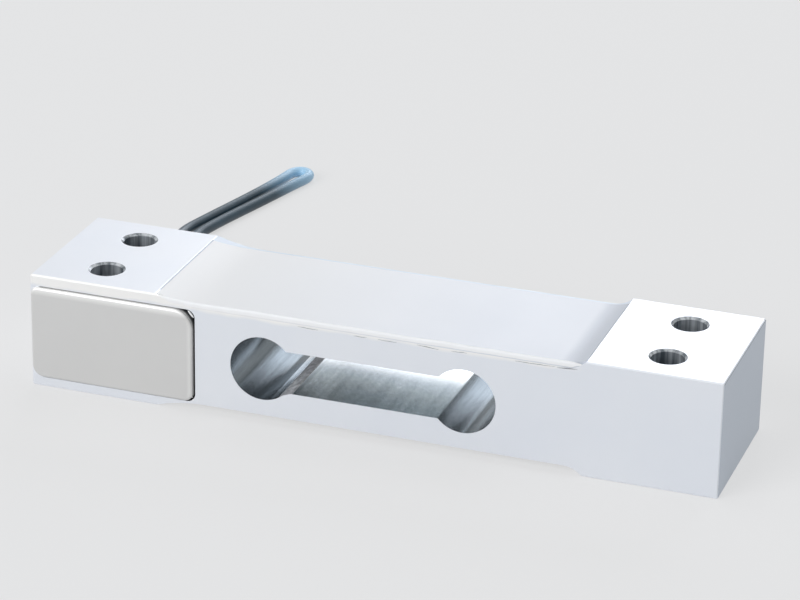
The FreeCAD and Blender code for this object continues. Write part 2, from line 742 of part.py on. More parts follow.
def edge_trim_sketch(body, low_inset, high_inset):
    """What is cut away to round the strip's two long top edges."""
    sketch = new_sketch(body, "edge_trim", "YZ_Plane")
    radius = value("size.strip_edge_round")
    level = value("size.strip_thickness")
    above = "size.recess_depth + size.strip_edge_round"
    for side, inset in ((-1, low_inset), (1, high_inset)):
        edge = f"({side} * ({half_width} - {inset}))"
        inner = f"({edge} - ({side}) * size.strip_edge_round)"
        outer = f"({edge} + ({side}) * size.strip_edge_round)"
        shoulder = "size.strip_thickness - size.strip_edge_round"
        first = sketch.GeometryCount
        centre = Vector(value(inner), level - radius, 0)
        start, end = (0, 90) if side > 0 else (90, 180)
        sketch.addGeometry(arc(centre, radius, start, end))
        corners = [(inner, "size.strip_thickness"), (inner, above), (outer, above),
                   (outer, shoulder), (edge, shoulder)]
        for step in range(4):
            points = [Vector(value(x), value(z), 0) for x, z in corners[step:step + 2]]
            sketch.addGeometry(Part.LineSegment(*points))
        at_top, at_side = (2, 1) if side > 0 else (1, 2)
        sketch.addConstraint(Sketcher.Constraint("Coincident", first, at_top, first + 1, 1))
        sketch.addConstraint(Sketcher.Constraint("Coincident", first, at_side, first + 4, 2))
        for step in range(1, 4):
            sketch.addConstraint(Sketcher.Constraint(
                "Coincident", first + step, 2, first + step + 1, 1))
        for step, corner in enumerate(corners[:4]):
            bind_point(sketch, f"corner_{first}_{step}", first + step + 1, 1, *corner)
        bind_point(sketch, f"corner_{first}_4", first + 4, 2, *corners[4])
        bind(sketch, "round_%d" % first, "size.strip_edge_round", "Radius", first)
    return sketch


def make_strip(label, low_inset, high_inset, wire_side, turn, z):
    """Sealing strip on a recess floor, rounded along its edges and hollow over the gauges.

    wire_side is -1 where the wire hole lies towards low Y in the strip's own frame, else 1.
    """
    body = new_body(label)
    width = f"size.beam_width - {low_inset} - {high_inset}"
    add_pad(body, "slab", strip_sketch(body, high_inset), width)
    add_pocket(body, "rounds", edge_trim_sketch(body, low_inset, high_inset))

    hollow = new_sketch(body, "hollow_sketch", "XY_Plane")
    margin = "(size.wire_hole_diameter / 2 + size.strip_cavity_margin)"
    wire_edge = f"-{wire_y} + {margin}"
    link_edge = f"{link_outer} + size.strip_cavity_margin"
    low, high = (f"-({wire_edge})", link_edge)
    if wire_side > 0:
        low, high = (f"-({link_edge})", wire_edge)
    rectangle(hollow, "hollow", f"{wire_x} - {margin}",
              f"{gauge_right} + size.gauge_length / 2 + size.strip_cavity_margin", low, high)
    add_pocket(body, "hollow", hollow, "size.strip_cavity", backwards=True)
    place(body, "0", "0", z, turn)
    return body


def make_gauge_pieces():
    pieces = []
    for side, turn, z in sides:
        pieces.append(make_gauge(f"gauge_{side}_left", gauge_left, turn, z))
        pieces.append(make_gauge(f"gauge_{side}_right", gauge_right, turn, z))
        pieces.append(make_tab(f"tab_{side}", turn, z))
        pieces.append(make_near_link(f"link_{side}_near", turn, z))
        pieces.append(make_far_link(f"link_{side}_far", turn, z))
    back = "size.strip_back_inset"
    pieces.append(make_strip("strip_top", "0", back, -1, over, floor_top))
    pieces.append(make_strip("strip_under", back, "size.strip_under_inset", 1, under,
                             "size.recess_depth"))
    return pieces


# ---------------------------------------------------------------- wires inside the beam
def make_feeds():
    """Wire from each solder tab, through its wire hole, to the right-hand end of the board."""
    feeds = []
    diameter = value("size.feed_diameter")
    height = value("size.beam_height")
    hole_x = value(wire_x)
    hole_y = value(wire_y)
    tab_x = value(f"{tab_left} + size.link_width / 2")
    tab_side = -value("size.tab_width / 2")
    lying = value(f"{board_face} - size.land_raise") - diameter / 2
    land_x = value(f"{board_left} + size.board_length - size.land_edge - size.land_length / 2")
    board_right = value(f"{board_left} + size.board_length")
    middle = value(board_middle)
    outer_land = value("1.5 * size.land_pitch")
    slope_rise = value(
        f"size.runout_left - sqrt(size.runout_left ^ 2 - ({floor_start} - {wire_x}) ^ 2)")
    for side, upward in (("top", 1), ("under", -1)):
        level = value(f"{floor_top} + size.feed_rise")
        if upward < 0:
            level = height - level
        land_z = middle + upward * outer_land
        points = [
            Vector(tab_x, tab_side, level),
            Vector(tab_x, tab_side - 8 * diameter, level),
            Vector(hole_x, hole_y, level + upward * slope_rise),
            Vector(hole_x, hole_y, land_z + upward * 2 * diameter),
            Vector(board_right + diameter, lying, land_z),
            Vector(land_x, lying, land_z),
        ]
        solid, length, radii = tube(points, diameter, widest=diameter)
        feeds.append(add_shape(f"feed_{side}", solid))
    return feeds


def make_cores():
    """Cable cores that fan out from the jacket's end to the board's left-hand lands."""
    cores = []
    diameter = value("size.core_diameter")
    offset = value("size.core_offset")
    centre_x = value(cable_x)
    centre_z = value("size.cable_height")
    jacket_end = value(f"{cavity_floor} - size.jacket_reach")
    lying = value(f"{board_face} - size.land_raise") - diameter / 2
    land_x = value(f"{board_left} + size.land_edge + size.land_length / 2")
    middle = value(board_middle)
    pitch = value("size.land_pitch")
    places = (("red", -1, 1, 1.5), ("black", 1, 1, 0.5), ("green", 1, -1, -0.5), ("white", -1, -1, -1.5))
    for colour, across, up, row in places:
        start = Vector(centre_x + across * offset, jacket_end, centre_z + up * offset)
        land = Vector(land_x, lying, middle + row * pitch)
        points = [
            start,
            Vector(start.x, lying, start.z),
            land - Vector(pitch, 0, 0),
            land,
        ]
        solid, length, radii = tube(points, diameter, widest=diameter)
        cores.append(add_shape("core_" + colour, solid))
    return cores


def make_lead_in():
    """The cable's own jacket inside the beam, from the pocket to the grommet's tip."""
    length = f"{half_width} + size.grommet_length - ({cavity_floor}) + size.jacket_reach"
    start = (cable_x, f"{cavity_floor} - size.jacket_reach", "size.cable_height")
    return add_cylinder("cable_lead_in", start, "size.cable_diameter", length,
                        Rotation(Vector(1, 0, 0), -90))


def make_grommet():
    """Rubber grommet: a plug in the back face's socket, a flange and a tapered boot."""
    body = new_body("cable_grommet")
    sketch = new_sketch(body, "half_profile", "XY_Plane")
    bore = "size.cable_diameter / 2 + size.grommet_fit"
    plug = "size.grommet_plug / 2 - size.grommet_fit"
    polygon(sketch, "profile", [
        (bore, "-size.grommet_plug_depth"), (plug, "-size.grommet_plug_depth"), (plug, "0"),
        ("size.grommet_flange / 2", "0"),
        ("size.grommet_flange / 2", "size.grommet_flange_thickness"),
        ("size.grommet_root / 2", "size.grommet_flange_thickness"),
        ("size.grommet_tip / 2", "size.grommet_length"), (bore, "size.grommet_length")])
    turned = body.newObject("PartDesign::Revolution", "turned")
    turned.Profile = sketch
    turned.ReferenceAxis = (sketch, ["V_Axis"])
    turned.Angle = 360
    doc.recompute()
    place(body, cable_x, half_width, "size.cable_height")
    return body


# ---------------------------------------------------------------- the free cable
# The cable droops to the surface behind the beam, runs out, folds back on itself and returns to a
# coil close behind the beam.  Points are chosen by hand, in millimetres.
cable_route = [
    (-59.0, 19.5, 11.0),
    (-59.0, 26.0, 11.0),
    (-59.8, 34.6, 8.6),
    (-61.8, 43.4, 4.7),
    (-65.1, 51.9, 1.8),
    (-68.0, 60.3, 1.12),
    (-66.2, 68.6, 1.12),
    (-62.0, 84.5, 1.12),
    (-59.1, 95.0, 1.12),
    (-57.9, 100.4, 1.12),
    (-55.2, 101.2, 1.12),
    (-53.2, 99.2, 1.12),
    (-54.5, 93.7, 1.12),
    (-57.1, 83.4, 1.12),
    (-61.5, 67.4, 1.12),
    (-63.3, 58.8, 1.12),
    (-61.2, 50.6, 1.12),
    (-55.0, 45.2, 1.12),
    (-46.7, 43.8, 1.12),
    (-37.5, 44.6, 1.2),
    (-29.0, 45.6, 1.5),
]
tail_route = [
    (-27.5, 44.6, 3.5),
    (-20.5, 44.5, 3.2),
    (-13.5, 43.6, 1.6),
    (-5.0, 41.8, 1.6),
]


def make_coil():
    """Outer shape of three turns lying beside and on each other."""
    body = new_body("cable_coil")
    sketch = new_sketch(body, "section", "XZ_Plane")
    inner = "size.coil_radius - size.coil_width / 2"
    outer = "size.coil_radius + size.coil_width / 2"
    polygon(sketch, "turns", [
        (inner, "0"), (outer, "0"), (outer, "size.coil_shoulder"),
        ("size.coil_radius + size.coil_crown / 2", "size.coil_height"),
        ("size.coil_radius - size.coil_crown / 2", "size.coil_height"),
        (inner, "size.coil_shoulder")])
    turned = body.newObject("PartDesign::Revolution", "turned")
    turned.Profile = sketch
    turned.ReferenceAxis = (sketch, ["V_Axis"])
    turned.Angle = 360
    doc.recompute()
    place(body, "size.coil_x", "size.coil_y", "size.tie_thickness + size.tie_clearance")
    return body


def make_tie():
    """Slim tie looped round the coil's turns, with its head on the outside."""
    body = new_body("coil_tie")
    loop = new_sketch(body, "loop_sketch", "XZ_Plane")
    inner = "(size.coil_width / 2 + size.tie_clearance)"
    outer = "(size.coil_width / 2 + size.tie_clearance + size.tie_thickness)"
    inner_top = "(size.tie_thickness + 2 * size.tie_clearance + size.coil_height)"
    outer_top = f"({inner_top} + size.tie_thickness)"
    rectangle(loop, "outer", "-" + outer, outer, "0", outer_top)
    rectangle(loop, "inner", "-" + inner, inner, "size.tie_thickness", inner_top)
    add_pad(body, "loop", loop, "size.tie_width", both_sides=True)
    head = new_sketch(body, "head_sketch", "XZ_Plane")
    low = "size.coil_height / 2 - size.tie_head_height / 2"
    high = "size.coil_height / 2 + size.tie_head_height / 2"
    rectangle(head, "head", outer, f"{outer} + size.tie_head_thickness", low, high)
    add_pad(body, "head", head, "size.tie_head_width", both_sides=True)
    place(body, "size.coil_x + size.coil_radius", "size.coil_y", "0")
    return body


def make_free_cable(coil):
    """Tubes of the cable's straight-and-arc runs, ending on the coil's own surface."""
    diameter = value("size.cable_diameter")
    pieces = []
    for label, route in (("cable", cable_route), ("cable_tail", tail_route)):
        solid, length, radii = tube([Vector(*point) for point in route], diameter)
        print(label, "length", round(length, 1), "radii", [round(radius, 1) for radius in radii])
        pieces.append(add_shape(label, solid.cut(coil.Shape)))
    return pieces


def make_stripped_end():
    """Shrunk sleeve on the cable's end, with its cores and drain wire fanned out beyond it."""
    end = Vector(*tail_route[-1])
    along = (end - Vector(*tail_route[-2])).normalize()
    aside = along.cross(Vector(0, 0, 1)).normalize()
    lap = value("size.sleeve_lap")
    beyond = value("size.sleeve_beyond")
    diameter = value("size.lead_diameter")
    offset = value("size.lead_offset")
    run = value("size.lead_run")
    bore = value("size.cable_diameter / 2 + size.grommet_fit")
    outer = value("size.sleeve_diameter / 2")
    shell = Part.makeCylinder(outer, lap + beyond, end - along * lap, along)
    room = Part.makeCylinder(bore, lap, end - along * lap, along)
    pieces = [add_shape("end_sleeve", shell.cut(room))]
    mouth = end + along * beyond
    fans = (
        ("lead_red", diameter, -1, 1.04, 9),
        ("lead_black", diameter, 1, 1.04, -9),
        ("lead_green", diameter, 1, -1, -27),
        ("lead_white", diameter, -1, -1, 27),
        ("lead_drain", value("size.drain_diameter"), 0, -2.2, 0),
    )
    for label, thickness, across, up, fan in fans:
        start = mouth + aside * (across * offset) + Vector(0, 0, up * offset)
        lying = thickness / 2 + 0.02
        half = Rotation(Vector(0, 0, 1), fan / 2).multVec(along)
        full = Rotation(Vector(0, 0, 1), fan).multVec(along)
        first = start + along * (0.35 * run)
        second = first + half * (0.8 * run)
        sag = 0.25 if up > 0 else 0.6
        second.z = (1 - sag) * first.z + sag * lying
        third = second + full * run
        third.z = lying
        fourth = third + Rotation(Vector(0, 0, 1), 0.7 * fan).multVec(along) * (0.9 * run)
        fourth.z = lying
        solid, length, radii = tube([start, first, second, third, fourth], thickness)
        pieces.append(add_shape(label, solid))
    return pieces


# ---------------------------------------------------------------- build, check and write
sub_parts = [make_beam(), make_cover(), make_seal(), make_board()]
sub_parts += make_board_pieces()
sub_parts += make_gauge_pieces()
sub_parts += make_feeds()
sub_parts += make_cores()
sub_parts += [make_lead_in(), make_grommet()]
coil_body = make_coil()
doc.recompute()
sub_parts += [coil_body, make_tie()]
sub_parts += make_free_cable(coil_body)
sub_parts += make_stripped_end()
doc.recompute()

for item in doc.Objects:
    if "Invalid" in item.State or "Error" in item.State:
        raise RuntimeError(item.Label + " did not rebuild")
for item in sub_parts:
    if item.Shape.isNull() or not item.Shape.isValid():
        raise RuntimeError(item.Label + " has no valid shape")
for item in sub_parts:
    item.Shape.exportStep("parts/%s.step" % item.Label)
print(len(sub_parts), "sub-parts written")
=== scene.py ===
import math

import bmesh
import bpy
from mathutils import Matrix, Vector, noise


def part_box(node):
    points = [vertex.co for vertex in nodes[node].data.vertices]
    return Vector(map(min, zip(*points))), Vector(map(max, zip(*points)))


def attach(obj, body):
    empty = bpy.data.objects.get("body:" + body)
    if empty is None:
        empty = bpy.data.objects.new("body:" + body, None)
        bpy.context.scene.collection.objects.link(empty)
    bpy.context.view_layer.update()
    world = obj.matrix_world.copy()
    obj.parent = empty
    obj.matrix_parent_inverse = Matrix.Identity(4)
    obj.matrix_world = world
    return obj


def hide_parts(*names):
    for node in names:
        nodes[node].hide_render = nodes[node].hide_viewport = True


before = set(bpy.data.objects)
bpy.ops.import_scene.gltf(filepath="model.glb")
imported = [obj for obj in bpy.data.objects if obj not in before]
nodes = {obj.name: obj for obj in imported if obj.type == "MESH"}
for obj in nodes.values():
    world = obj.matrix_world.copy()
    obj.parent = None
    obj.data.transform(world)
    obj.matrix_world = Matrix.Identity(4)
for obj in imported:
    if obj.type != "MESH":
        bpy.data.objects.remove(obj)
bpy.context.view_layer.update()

beamLow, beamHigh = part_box("beam")
mm = 0.001


# Camera
camera = {
    "azimuth": 18.97,
    "elevation": 23.37,
    "roll": 1.05,
    "distance": 0.6074,
    "focalLength": 151.2,
    "target": (0.0002, 0.00265, 0.02018),
}


def makeCamera():
    azimuth, elevation, roll = (math.radians(camera[name])
                                for name in ("azimuth", "elevation", "roll"))
    back = Vector((
        math.sin(azimuth) * math.cos(elevation),
        -math.cos(azimuth) * math.cos(elevation),
        math.sin(elevation),
    ))
    level = Vector((math.cos(azimuth), math.sin(azimuth), 0))
    right = level * math.cos(roll) + back.cross(level) * math.sin(roll)
    data = bpy.data.cameras.new("camera")
    data.lens = camera["focalLength"]
    data.sensor_width = 36
    data.clip_start = 0.01
    data.clip_end = 20
    holder = bpy.data.objects.new("camera", data)
    bpy.context.scene.collection.objects.link(holder)
    turned = Matrix((right, back.cross(right), back)).transposed().to_4x4()
    turned.translation = Vector(camera["target"]) + back * camera["distance"]
    holder.matrix_world = turned
    bpy.context.scene.camera = holder


makeCamera()
print("camera placed")


# Cable: one line from the grommet, through the fold and the coil, to the bare end
cable = {
    "diameter": 2.2 * mm,
    "length": 0.42,
    "exit": (-0.059, 0.0195, 0.011),
    "turnPoints": 16,
    "turnRadii": (13.3 * mm, 11.0 * mm, 12.15 * mm),
    "turnHeights": (1.5 * mm, 1.5 * mm, 3.45 * mm),
    "coilCentre": (-26.0 * mm, 32.5 * mm),
    "changeOver": 0.3,
    "bevelSteps": 5,
    "steps": 8,
}
cableRoute = [
    (-0.0590, 0.0195, 0.0110),
    (-0.0590, 0.0260, 0.0110),
    (-0.0598, 0.0346, 0.0086),
    (-0.0618, 0.0434, 0.0047),
    (-0.0651, 0.0519, 0.0018),
    (-0.0673, 0.0603, 0.00112),
    (-0.0654, 0.0686, 0.00112),
    (-0.0612, 0.0847, 0.00112),
    (-0.0589, 0.0957, 0.00112),
    (-0.0583, 0.1010, 0.00112),
    (-0.0558, 0.1022, 0.00112),
    (-0.0538, 0.0999, 0.00112),
    (-0.0555, 0.0940, 0.00112),
    (-0.0582, 0.0834, 0.00112),
    (-0.0626, 0.0674, 0.00112),
    (-0.0641, 0.0588, 0.00112),
    (-0.0612, 0.0506, 0.00112),
    (-0.0550, 0.0452, 0.00112),
    (-0.0467, 0.0438, 0.00112),
    (-0.0375, 0.0446, 0.0012),
]
tailRoute = [
    (-0.0205, 0.0445, 0.0032),
    (-0.0135, 0.0436, 0.0016),
    (-0.0050, 0.0418, 0.0016),
]


def coilTurns():  # three turns, clockwise from the side away from the beam
    points = []
    radii = cable["turnRadii"]
    heights = cable["turnHeights"]
    for turn in range(3):
        following = min(turn + 1, 2)
        for step in range(cable["turnPoints"]):
            part = step / cable["turnPoints"]
            blend = max(0, (part - 1 + cable["changeOver"]) / cable["changeOver"])
            radius = radii[turn] + (radii[following] - radii[turn]) * blend
            height = heights[turn] + (heights[following] - heights[turn]) * blend
            angle = math.pi / 2 - 2 * math.pi * part
            points.append((
                cable["coilCentre"][0] + radius * math.cos(angle),
                cable["coilCentre"][1] + radius * math.sin(angle),
                height,
            ))
    return points


def makeCable():
    data = bpy.data.curves.new("signal_cable", "CURVE")
    data.dimensions = "3D"
    points = cableRoute + coilTurns() + tailRoute
    spline = data.splines.new("NURBS")
    spline.points.add(len(points) - 1)
    for item, point in zip(spline.points, points):
        item.co = (*point, 1)
        item.radius = cable["diameter"] / 2  # the bevel is one metre, so this is the real radius
    spline.order_u = 3
    spline.use_endpoint_u = True
    spline.resolution_u = cable["steps"]
    data.bevel_depth = 1
    data.bevel_resolution = cable["bevelSteps"]
    data.use_fill_caps = True
    piece = bpy.data.objects.new("signal_cable", data)
    bpy.context.scene.collection.objects.link(piece)
    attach(piece, "root")
    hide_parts("cable", "cable_coil", "cable_tail")
    return piece


signalCable = makeCable()
print("cable laid")


# Shared tools: colours, shader nodes and finished pieces
def colour(text):
    channels = [int(text[place:place + 2], 16) / 255 for place in (1, 3, 5)]
    return tuple(
        part / 12.92 if part <= 0.04045 else ((part + 0.055) / 1.055) ** 2.4
        for part in channels) + (1,)


def addNode(tree, kind, inputs, output=0, **settings):
    node = tree.nodes.new(kind)
    for name, setting in settings.items():
        setattr(node, name, setting)
    for name, given in inputs.items():
        if isinstance(given, bpy.types.NodeSocket):
            tree.links.new(given, node.inputs[name])
        else:
            node.inputs[name].default_value = given
    return node.outputs[output]


def startMaterial(name):
    material = bpy.data.materials.new(name)
    material.use_nodes = True
    tree = material.node_tree
    place = addNode(tree, "ShaderNodeTexCoord", {}, "Object")
    return material, tree, tree.nodes["Principled BSDF"].inputs, place


def finishPiece(build, name, smoothBelow=1.0):
    data = bpy.data.meshes.new(name)
    build.to_mesh(data)
    build.free()
    for face in data.polygons:
        face.use_smooth = face.area < smoothBelow
    piece = bpy.data.objects.new(name, data)
    bpy.context.scene.collection.objects.link(piece)
    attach(piece, "root")
    return piece


def cover(pieces, material):
    for piece in pieces:
        piece.data.materials.clear()
        piece.data.materials.append(material)


# Beam: bead-blasted aluminium, bare where it was drilled and cut
beamLook = {
    "light": "#f1f3f6",
    "dark": "#e4e8ef",
    "metallic": 0.55,
    "roughness": (0.33, 0.43),
    "bareLight": "#bfc7ca",
    "bareDark": "#7f8b90",
    # The bores are painted darker than the slot they open into: painted shade and dark reflection
    "boreLight": "#8a9399",
    "boreDark": "#4f585e",
    "holeLight": "#d3d7da",
    "holeDark": "#6a7278",
    "bareRoughness": (0.14, 0.27),
    "filedLight": "#e8e8ea",
    "filedDark": "#a3a4a7",
    "filedRoughness": 0.5,
    # Painted shade in the gap round the lid, giving way to paler grey at the seat's left end and in
    # patches along its bottom
    "seat": "#2f3133",
    "seatPale": "#b5b8ba",
    "seatRoughness": 0.7,
    # Painted shade: the right end face darkened
    "endFaceShade": "#c2cad4",
    # Painted highlight: a pale blue line along the top recess's back ledge
    "ledgeHighlight": "#dde5ee",
    # Painted shade on the step down from each pad
    "step": "#a9afba",
    # Painted highlight: a bright stripe in the left bore
    "leftBoreHighlight": "#eef2f5",
    # Painted reflection: the far half of the slot floor made near white
    "farSide": "#fbfbfd",
    "edgeShade": "#79848e",
    # Painted highlight: a pale wavy band along the front wall's top edge
    "frontEdgeHighlight": "#fbfaf7",
    "coatedMetallic": 0.1,
    "openingMiddle": -0.7,
    "frontEdgeHighlightWave": 1.2,
    "frontEdgeHighlightFrom": (20.3, 21.0),
    "regions": {  # axis, middle and half width, in millimetres
        "opening": (("X", -0.7, 25.6), ("Y", 0, 14.96), ("Z", 10.7, 6.5)),
        "leftBoreHighlight": (("X", -17.0, 1.1), ("Z", 6.35, 2.15)),
        "slotFloor": (("Z", 6.35, 2.15),),
        "inside": (("Y", 0, 14.96),),
        "belowTop": (("Z", 11, 10.97),),
        "seat": (("X", -48.4, 16.0), ("Y", -11.98, 2.98), ("Z", 10.9, 9.2)),
        "front": (("Y", -15, 0.4),),
        "ledge": (("X", 0, 40.3), ("Y", 20, 9), ("Z", 21.13, 0.83)),
        "step": (("sideX", 40.2, 0.5), ("Y", 0, 12.6), ("Z", 21.13, 0.83)),
        "end": (("X", 65.5, 0.57),),
    },
    "rounds": {  # two axes, the middle on each, and the radius, in millimetres
        "boltHole": ("sideX", "sideY", 53.0, 7.5, 3.7),
        "filed": ("X", "Z", -15.3, 6.4, 1.5),
    },
    "ramps": {  # axis, start and end in millimetres, the value at each, and the curve
        "boreEnds": ("fromMiddle", 14.0, 14.6, 0, 1, "LINEAR"),
        "slotMiddle": ("fromMiddle", 14.0, 14.6, 1, 0, "LINEAR"),
        "farSide": ("Y", -3, 8, 0, 1, "SMOOTHSTEP"),
        # Where the seat's painted shade gives way: at its left end, and in patches along its bottom
        "seatShadeLifted": ("X", -63.9, -62.4, 1, 0, "LINEAR"),
        "lowShadeLifted": ("Z", 2.2, 2.7, 0.8, 0.05, "LINEAR"),
        "beforePad": ("X", 34, 40, 1, 0, "LINEAR"),
        "topEdge": ("Z", 21.55, 21.8, 0, 0.85, "LINEAR"),
    },
}


def markBeam(tree, place, look):  # a mask for each part of the beam that has a finish of its own
    split = addNode(tree, "ShaderNodeSeparateXYZ", {"Vector": place}).node.outputs
    axes = {axis: split[axis] for axis in "XYZ"}
    fromMiddle = addNode(tree, "ShaderNodeMath", {0: axes["X"], 1: -look["openingMiddle"] * mm},
                         operation="ADD")
    for name, given in (("sideX", axes["X"]), ("sideY", axes["Y"]), ("fromMiddle", fromMiddle)):
        axes[name] = addNode(tree, "ShaderNodeMath", {0: given}, operation="ABSOLUTE")
    masks = {}
    for name, slabs in look["regions"].items():
        for axis, middle, half in slabs:
            slab = addNode(tree, "ShaderNodeMath",
                           {0: axes[axis], 1: middle * mm, 2: half * mm}, operation="COMPARE")
            masks[name] = slab if name not in masks else addNode(
                tree, "ShaderNodeMath", {0: masks[name], 1: slab}, operation="MULTIPLY")
    for name, (first, second, across, along, radius) in look["rounds"].items():
        flat = addNode(tree, "ShaderNodeCombineXYZ", {0: axes[first], 1: axes[second]})
        reach = addNode(tree, "ShaderNodeVectorMath", {0: flat, 1: (across * mm, along * mm, 0)},
                        "Value", operation="DISTANCE")
        masks[name] = addNode(tree, "ShaderNodeMath", {0: reach, 1: radius * mm},
                              operation="LESS_THAN")
    for name, (axis, start, end, low, high, curve) in look["ramps"].items():
        masks[name] = addNode(tree, "ShaderNodeMapRange",
                              {"Value": axes[axis], "From Min": start * mm, "From Max": end * mm,
                               "To Min": low, "To Max": high}, interpolation_type=curve)

    # Painted highlight along the front wall's top edge, and the patches where the seat's painted
    # shade gives way to paler grey
    wave = addNode(tree, "ShaderNodeTexNoise", {"Vector": place, "Scale": 160, "Detail": 2}, "Fac")
    wavy = addNode(tree, "ShaderNodeMath", {0: wave, 1: look["frontEdgeHighlightWave"] * mm, 2: axes["Z"]},
                   operation="MULTIPLY_ADD")
    masks["frontEdgeHighlight"] = addNode(tree, "ShaderNodeMapRange",
                             {"Value": wavy, "From Min": look["frontEdgeHighlightFrom"][0] * mm,
                              "From Max": look["frontEdgeHighlightFrom"][1] * mm})
    crumbsAndShadeBreaks = addNode(tree, "ShaderNodeTexNoise", {"Vector": place, "Scale": 300, "Detail": 4},
                     "Fac")
    masks["crumbsAndShadeBreaks"] = addNode(tree, "ShaderNodeMapRange",
                              {"Value": crumbsAndShadeBreaks, "From Min": 0.42, "From Max": 0.56})
    masks["endLine"] = masks["end"]
    for name, other, operation in (
            ("boltHole", "belowTop", "MULTIPLY"), ("filed", "inside", "MULTIPLY"),
            ("frontEdgeHighlight", "front", "MULTIPLY"), ("frontEdgeHighlight", "beforePad", "MULTIPLY"),
            ("lowShadeLifted", "crumbsAndShadeBreaks", "MULTIPLY"), ("seatShadeLifted", "lowShadeLifted", "MAXIMUM"),
            ("farSide", "slotMiddle", "MULTIPLY"), ("farSide", "slotFloor", "MULTIPLY"),
            ("endLine", "topEdge", "MULTIPLY")):
        masks[name] = addNode(tree, "ShaderNodeMath", {0: masks[name], 1: masks[other]},
                              operation=operation)
    masks["cut"] = addNode(tree, "ShaderNodeMath", {0: masks["opening"], 1: masks["boltHole"]},
                           operation="MAXIMUM")
    return masks


def makeBeamMaterial():
    # Fine blasting gives a soft, even gleam; cut walls shine and show streaks along the tool's way.
    material, tree, shader, place = startMaterial("blasted_aluminium")
    look = beamLook
    masks = markBeam(tree, place, look)

    patches = addNode(tree, "ShaderNodeTexNoise",
                      {"Vector": place, "Scale": 45, "Detail": 3}, "Fac")  # 22 mm clouds
    grain = addNode(tree, "ShaderNodeTexNoise",
                    {"Vector": place, "Scale": 2600, "Detail": 2, "Roughness": 0.6},
                    "Fac")  # 0.4 mm, coarser than the real 0.1 mm, so that it shows
    along = addNode(tree, "ShaderNodeMapping", {"Vector": place, "Scale": (1, 0.035, 1)})
    streaks = addNode(tree, "ShaderNodeTexNoise",
                      {"Vector": along, "Scale": 1100, "Detail": 4, "Roughness": 0.65},
                      "Fac")  # 0.9 mm wide, right across the beam
    rings = addNode(tree, "ShaderNodeTexWave",
                    {"Vector": place, "Scale": 900, "Distortion": 1.5, "Detail": 2},
                    "Fac", bands_direction="Y")  # feed marks of the reamer
    down = addNode(tree, "ShaderNodeMapping", {"Vector": place, "Scale": (1, 1, 0.06)})
    runs = addNode(tree, "ShaderNodeTexNoise",
                   {"Vector": down, "Scale": 620, "Detail": 3, "Roughness": 0.6},
                   "Fac")  # bright and dark runs, 1.6 mm wide, down each bolt hole
    runs = addNode(tree, "ShaderNodeMapRange", {"Value": runs, "From Min": 0.4, "From Max": 0.6})
    flecks = addNode(tree, "ShaderNodeTexNoise",
                     {"Vector": place, "Scale": 800, "Detail": 5, "Roughness": 0.7},
                     "Fac")  # 1.2 mm file marks on the left bore's edge
    flecks = addNode(tree, "ShaderNodeMapRange",
                     {"Value": flecks, "From Min": 0.42, "From Max": 0.6})

    tones = {}
    for name, share, first, second in (
            ("outer", patches, "light", "dark"), ("bare", streaks, "bareDark", "bareLight"),
            ("bore", streaks, "boreDark", "boreLight"), ("hole", runs, "holeDark", "holeLight"),
            ("filed", flecks, "filedDark", "filedLight"),
            ("seat", masks["seatShadeLifted"], "seat", "seatPale")):
        tones[name] = addNode(tree, "ShaderNodeMix",
                              {0: share, 6: colour(look[first]), 7: colour(look[second])}, 2,
                              data_type="RGBA")
    for name in ("leftBoreHighlight", "farSide", "frontEdgeHighlight", "ledgeHighlight", "endFaceShade", "edgeShade", "step"):
        tones[name] = colour(look[name])
    for under, mask, over in (  # later finishes lie over earlier ones
            ("bare", "boreEnds", "bore"), ("bare", "leftBoreHighlight", "leftBoreHighlight"),
            ("bare", "farSide", "farSide"), ("outer", "frontEdgeHighlight", "frontEdgeHighlight"),
            ("outer", "ledge", "ledgeHighlight"), ("outer", "end", "endFaceShade"),
            ("outer", "endLine", "edgeShade"), ("outer", "step", "step"),
            ("outer", "opening", "bare"), ("outer", "boltHole", "hole"),
            ("outer", "filed", "filed"), ("outer", "seat", "seat")):
        tones[under] = addNode(tree, "ShaderNodeMix",
                               {0: masks[mask], 6: tones[under], 7: tones[over]}, 2,
                               data_type="RGBA")
    tree.links.new(tones["outer"], shader["Base Color"])

    rough, bareRough = (
        addNode(tree, "ShaderNodeMapRange",
                {"Value": share, "To Min": look[name][0], "To Max": look[name][1]})
        for share, name in ((patches, "roughness"), (streaks, "bareRoughness")))
    for mask, over in (("cut", bareRough), ("filed", look["filedRoughness"]),
                       ("seat", look["seatRoughness"])):
        rough = addNode(tree, "ShaderNodeMix", {0: masks[mask], 2: rough, 3: over})
    tree.links.new(rough, shader["Roughness"])
    metallic = look["metallic"]
    for mask, over in (("opening", 1.0), ("ledge", look["coatedMetallic"]),
                       ("step", look["coatedMetallic"]), ("filed", look["coatedMetallic"]),
                       ("seat", 0.0)):
        metallic = addNode(tree, "ShaderNodeMix", {0: masks[mask], 2: metallic, 3: over})
    tree.links.new(metallic, shader["Metallic"])
    cutRelief = addNode(tree, "ShaderNodeMath", {0: rings, 1: streaks}, operation="ADD")
    relief = grain
    for mask, over in (("cut", cutRelief), ("filed", flecks)):
        relief = addNode(tree, "ShaderNodeMix", {0: masks[mask], 2: relief, 3: over})
    tree.links.new(addNode(tree, "ShaderNodeBump",
                           {"Height": relief, "Strength": 0.22, "Distance": 0.04 * mm}),
                   shader["Normal"])
    return material


cover([nodes["beam"]], makeBeamMaterial())
print("beam finished")


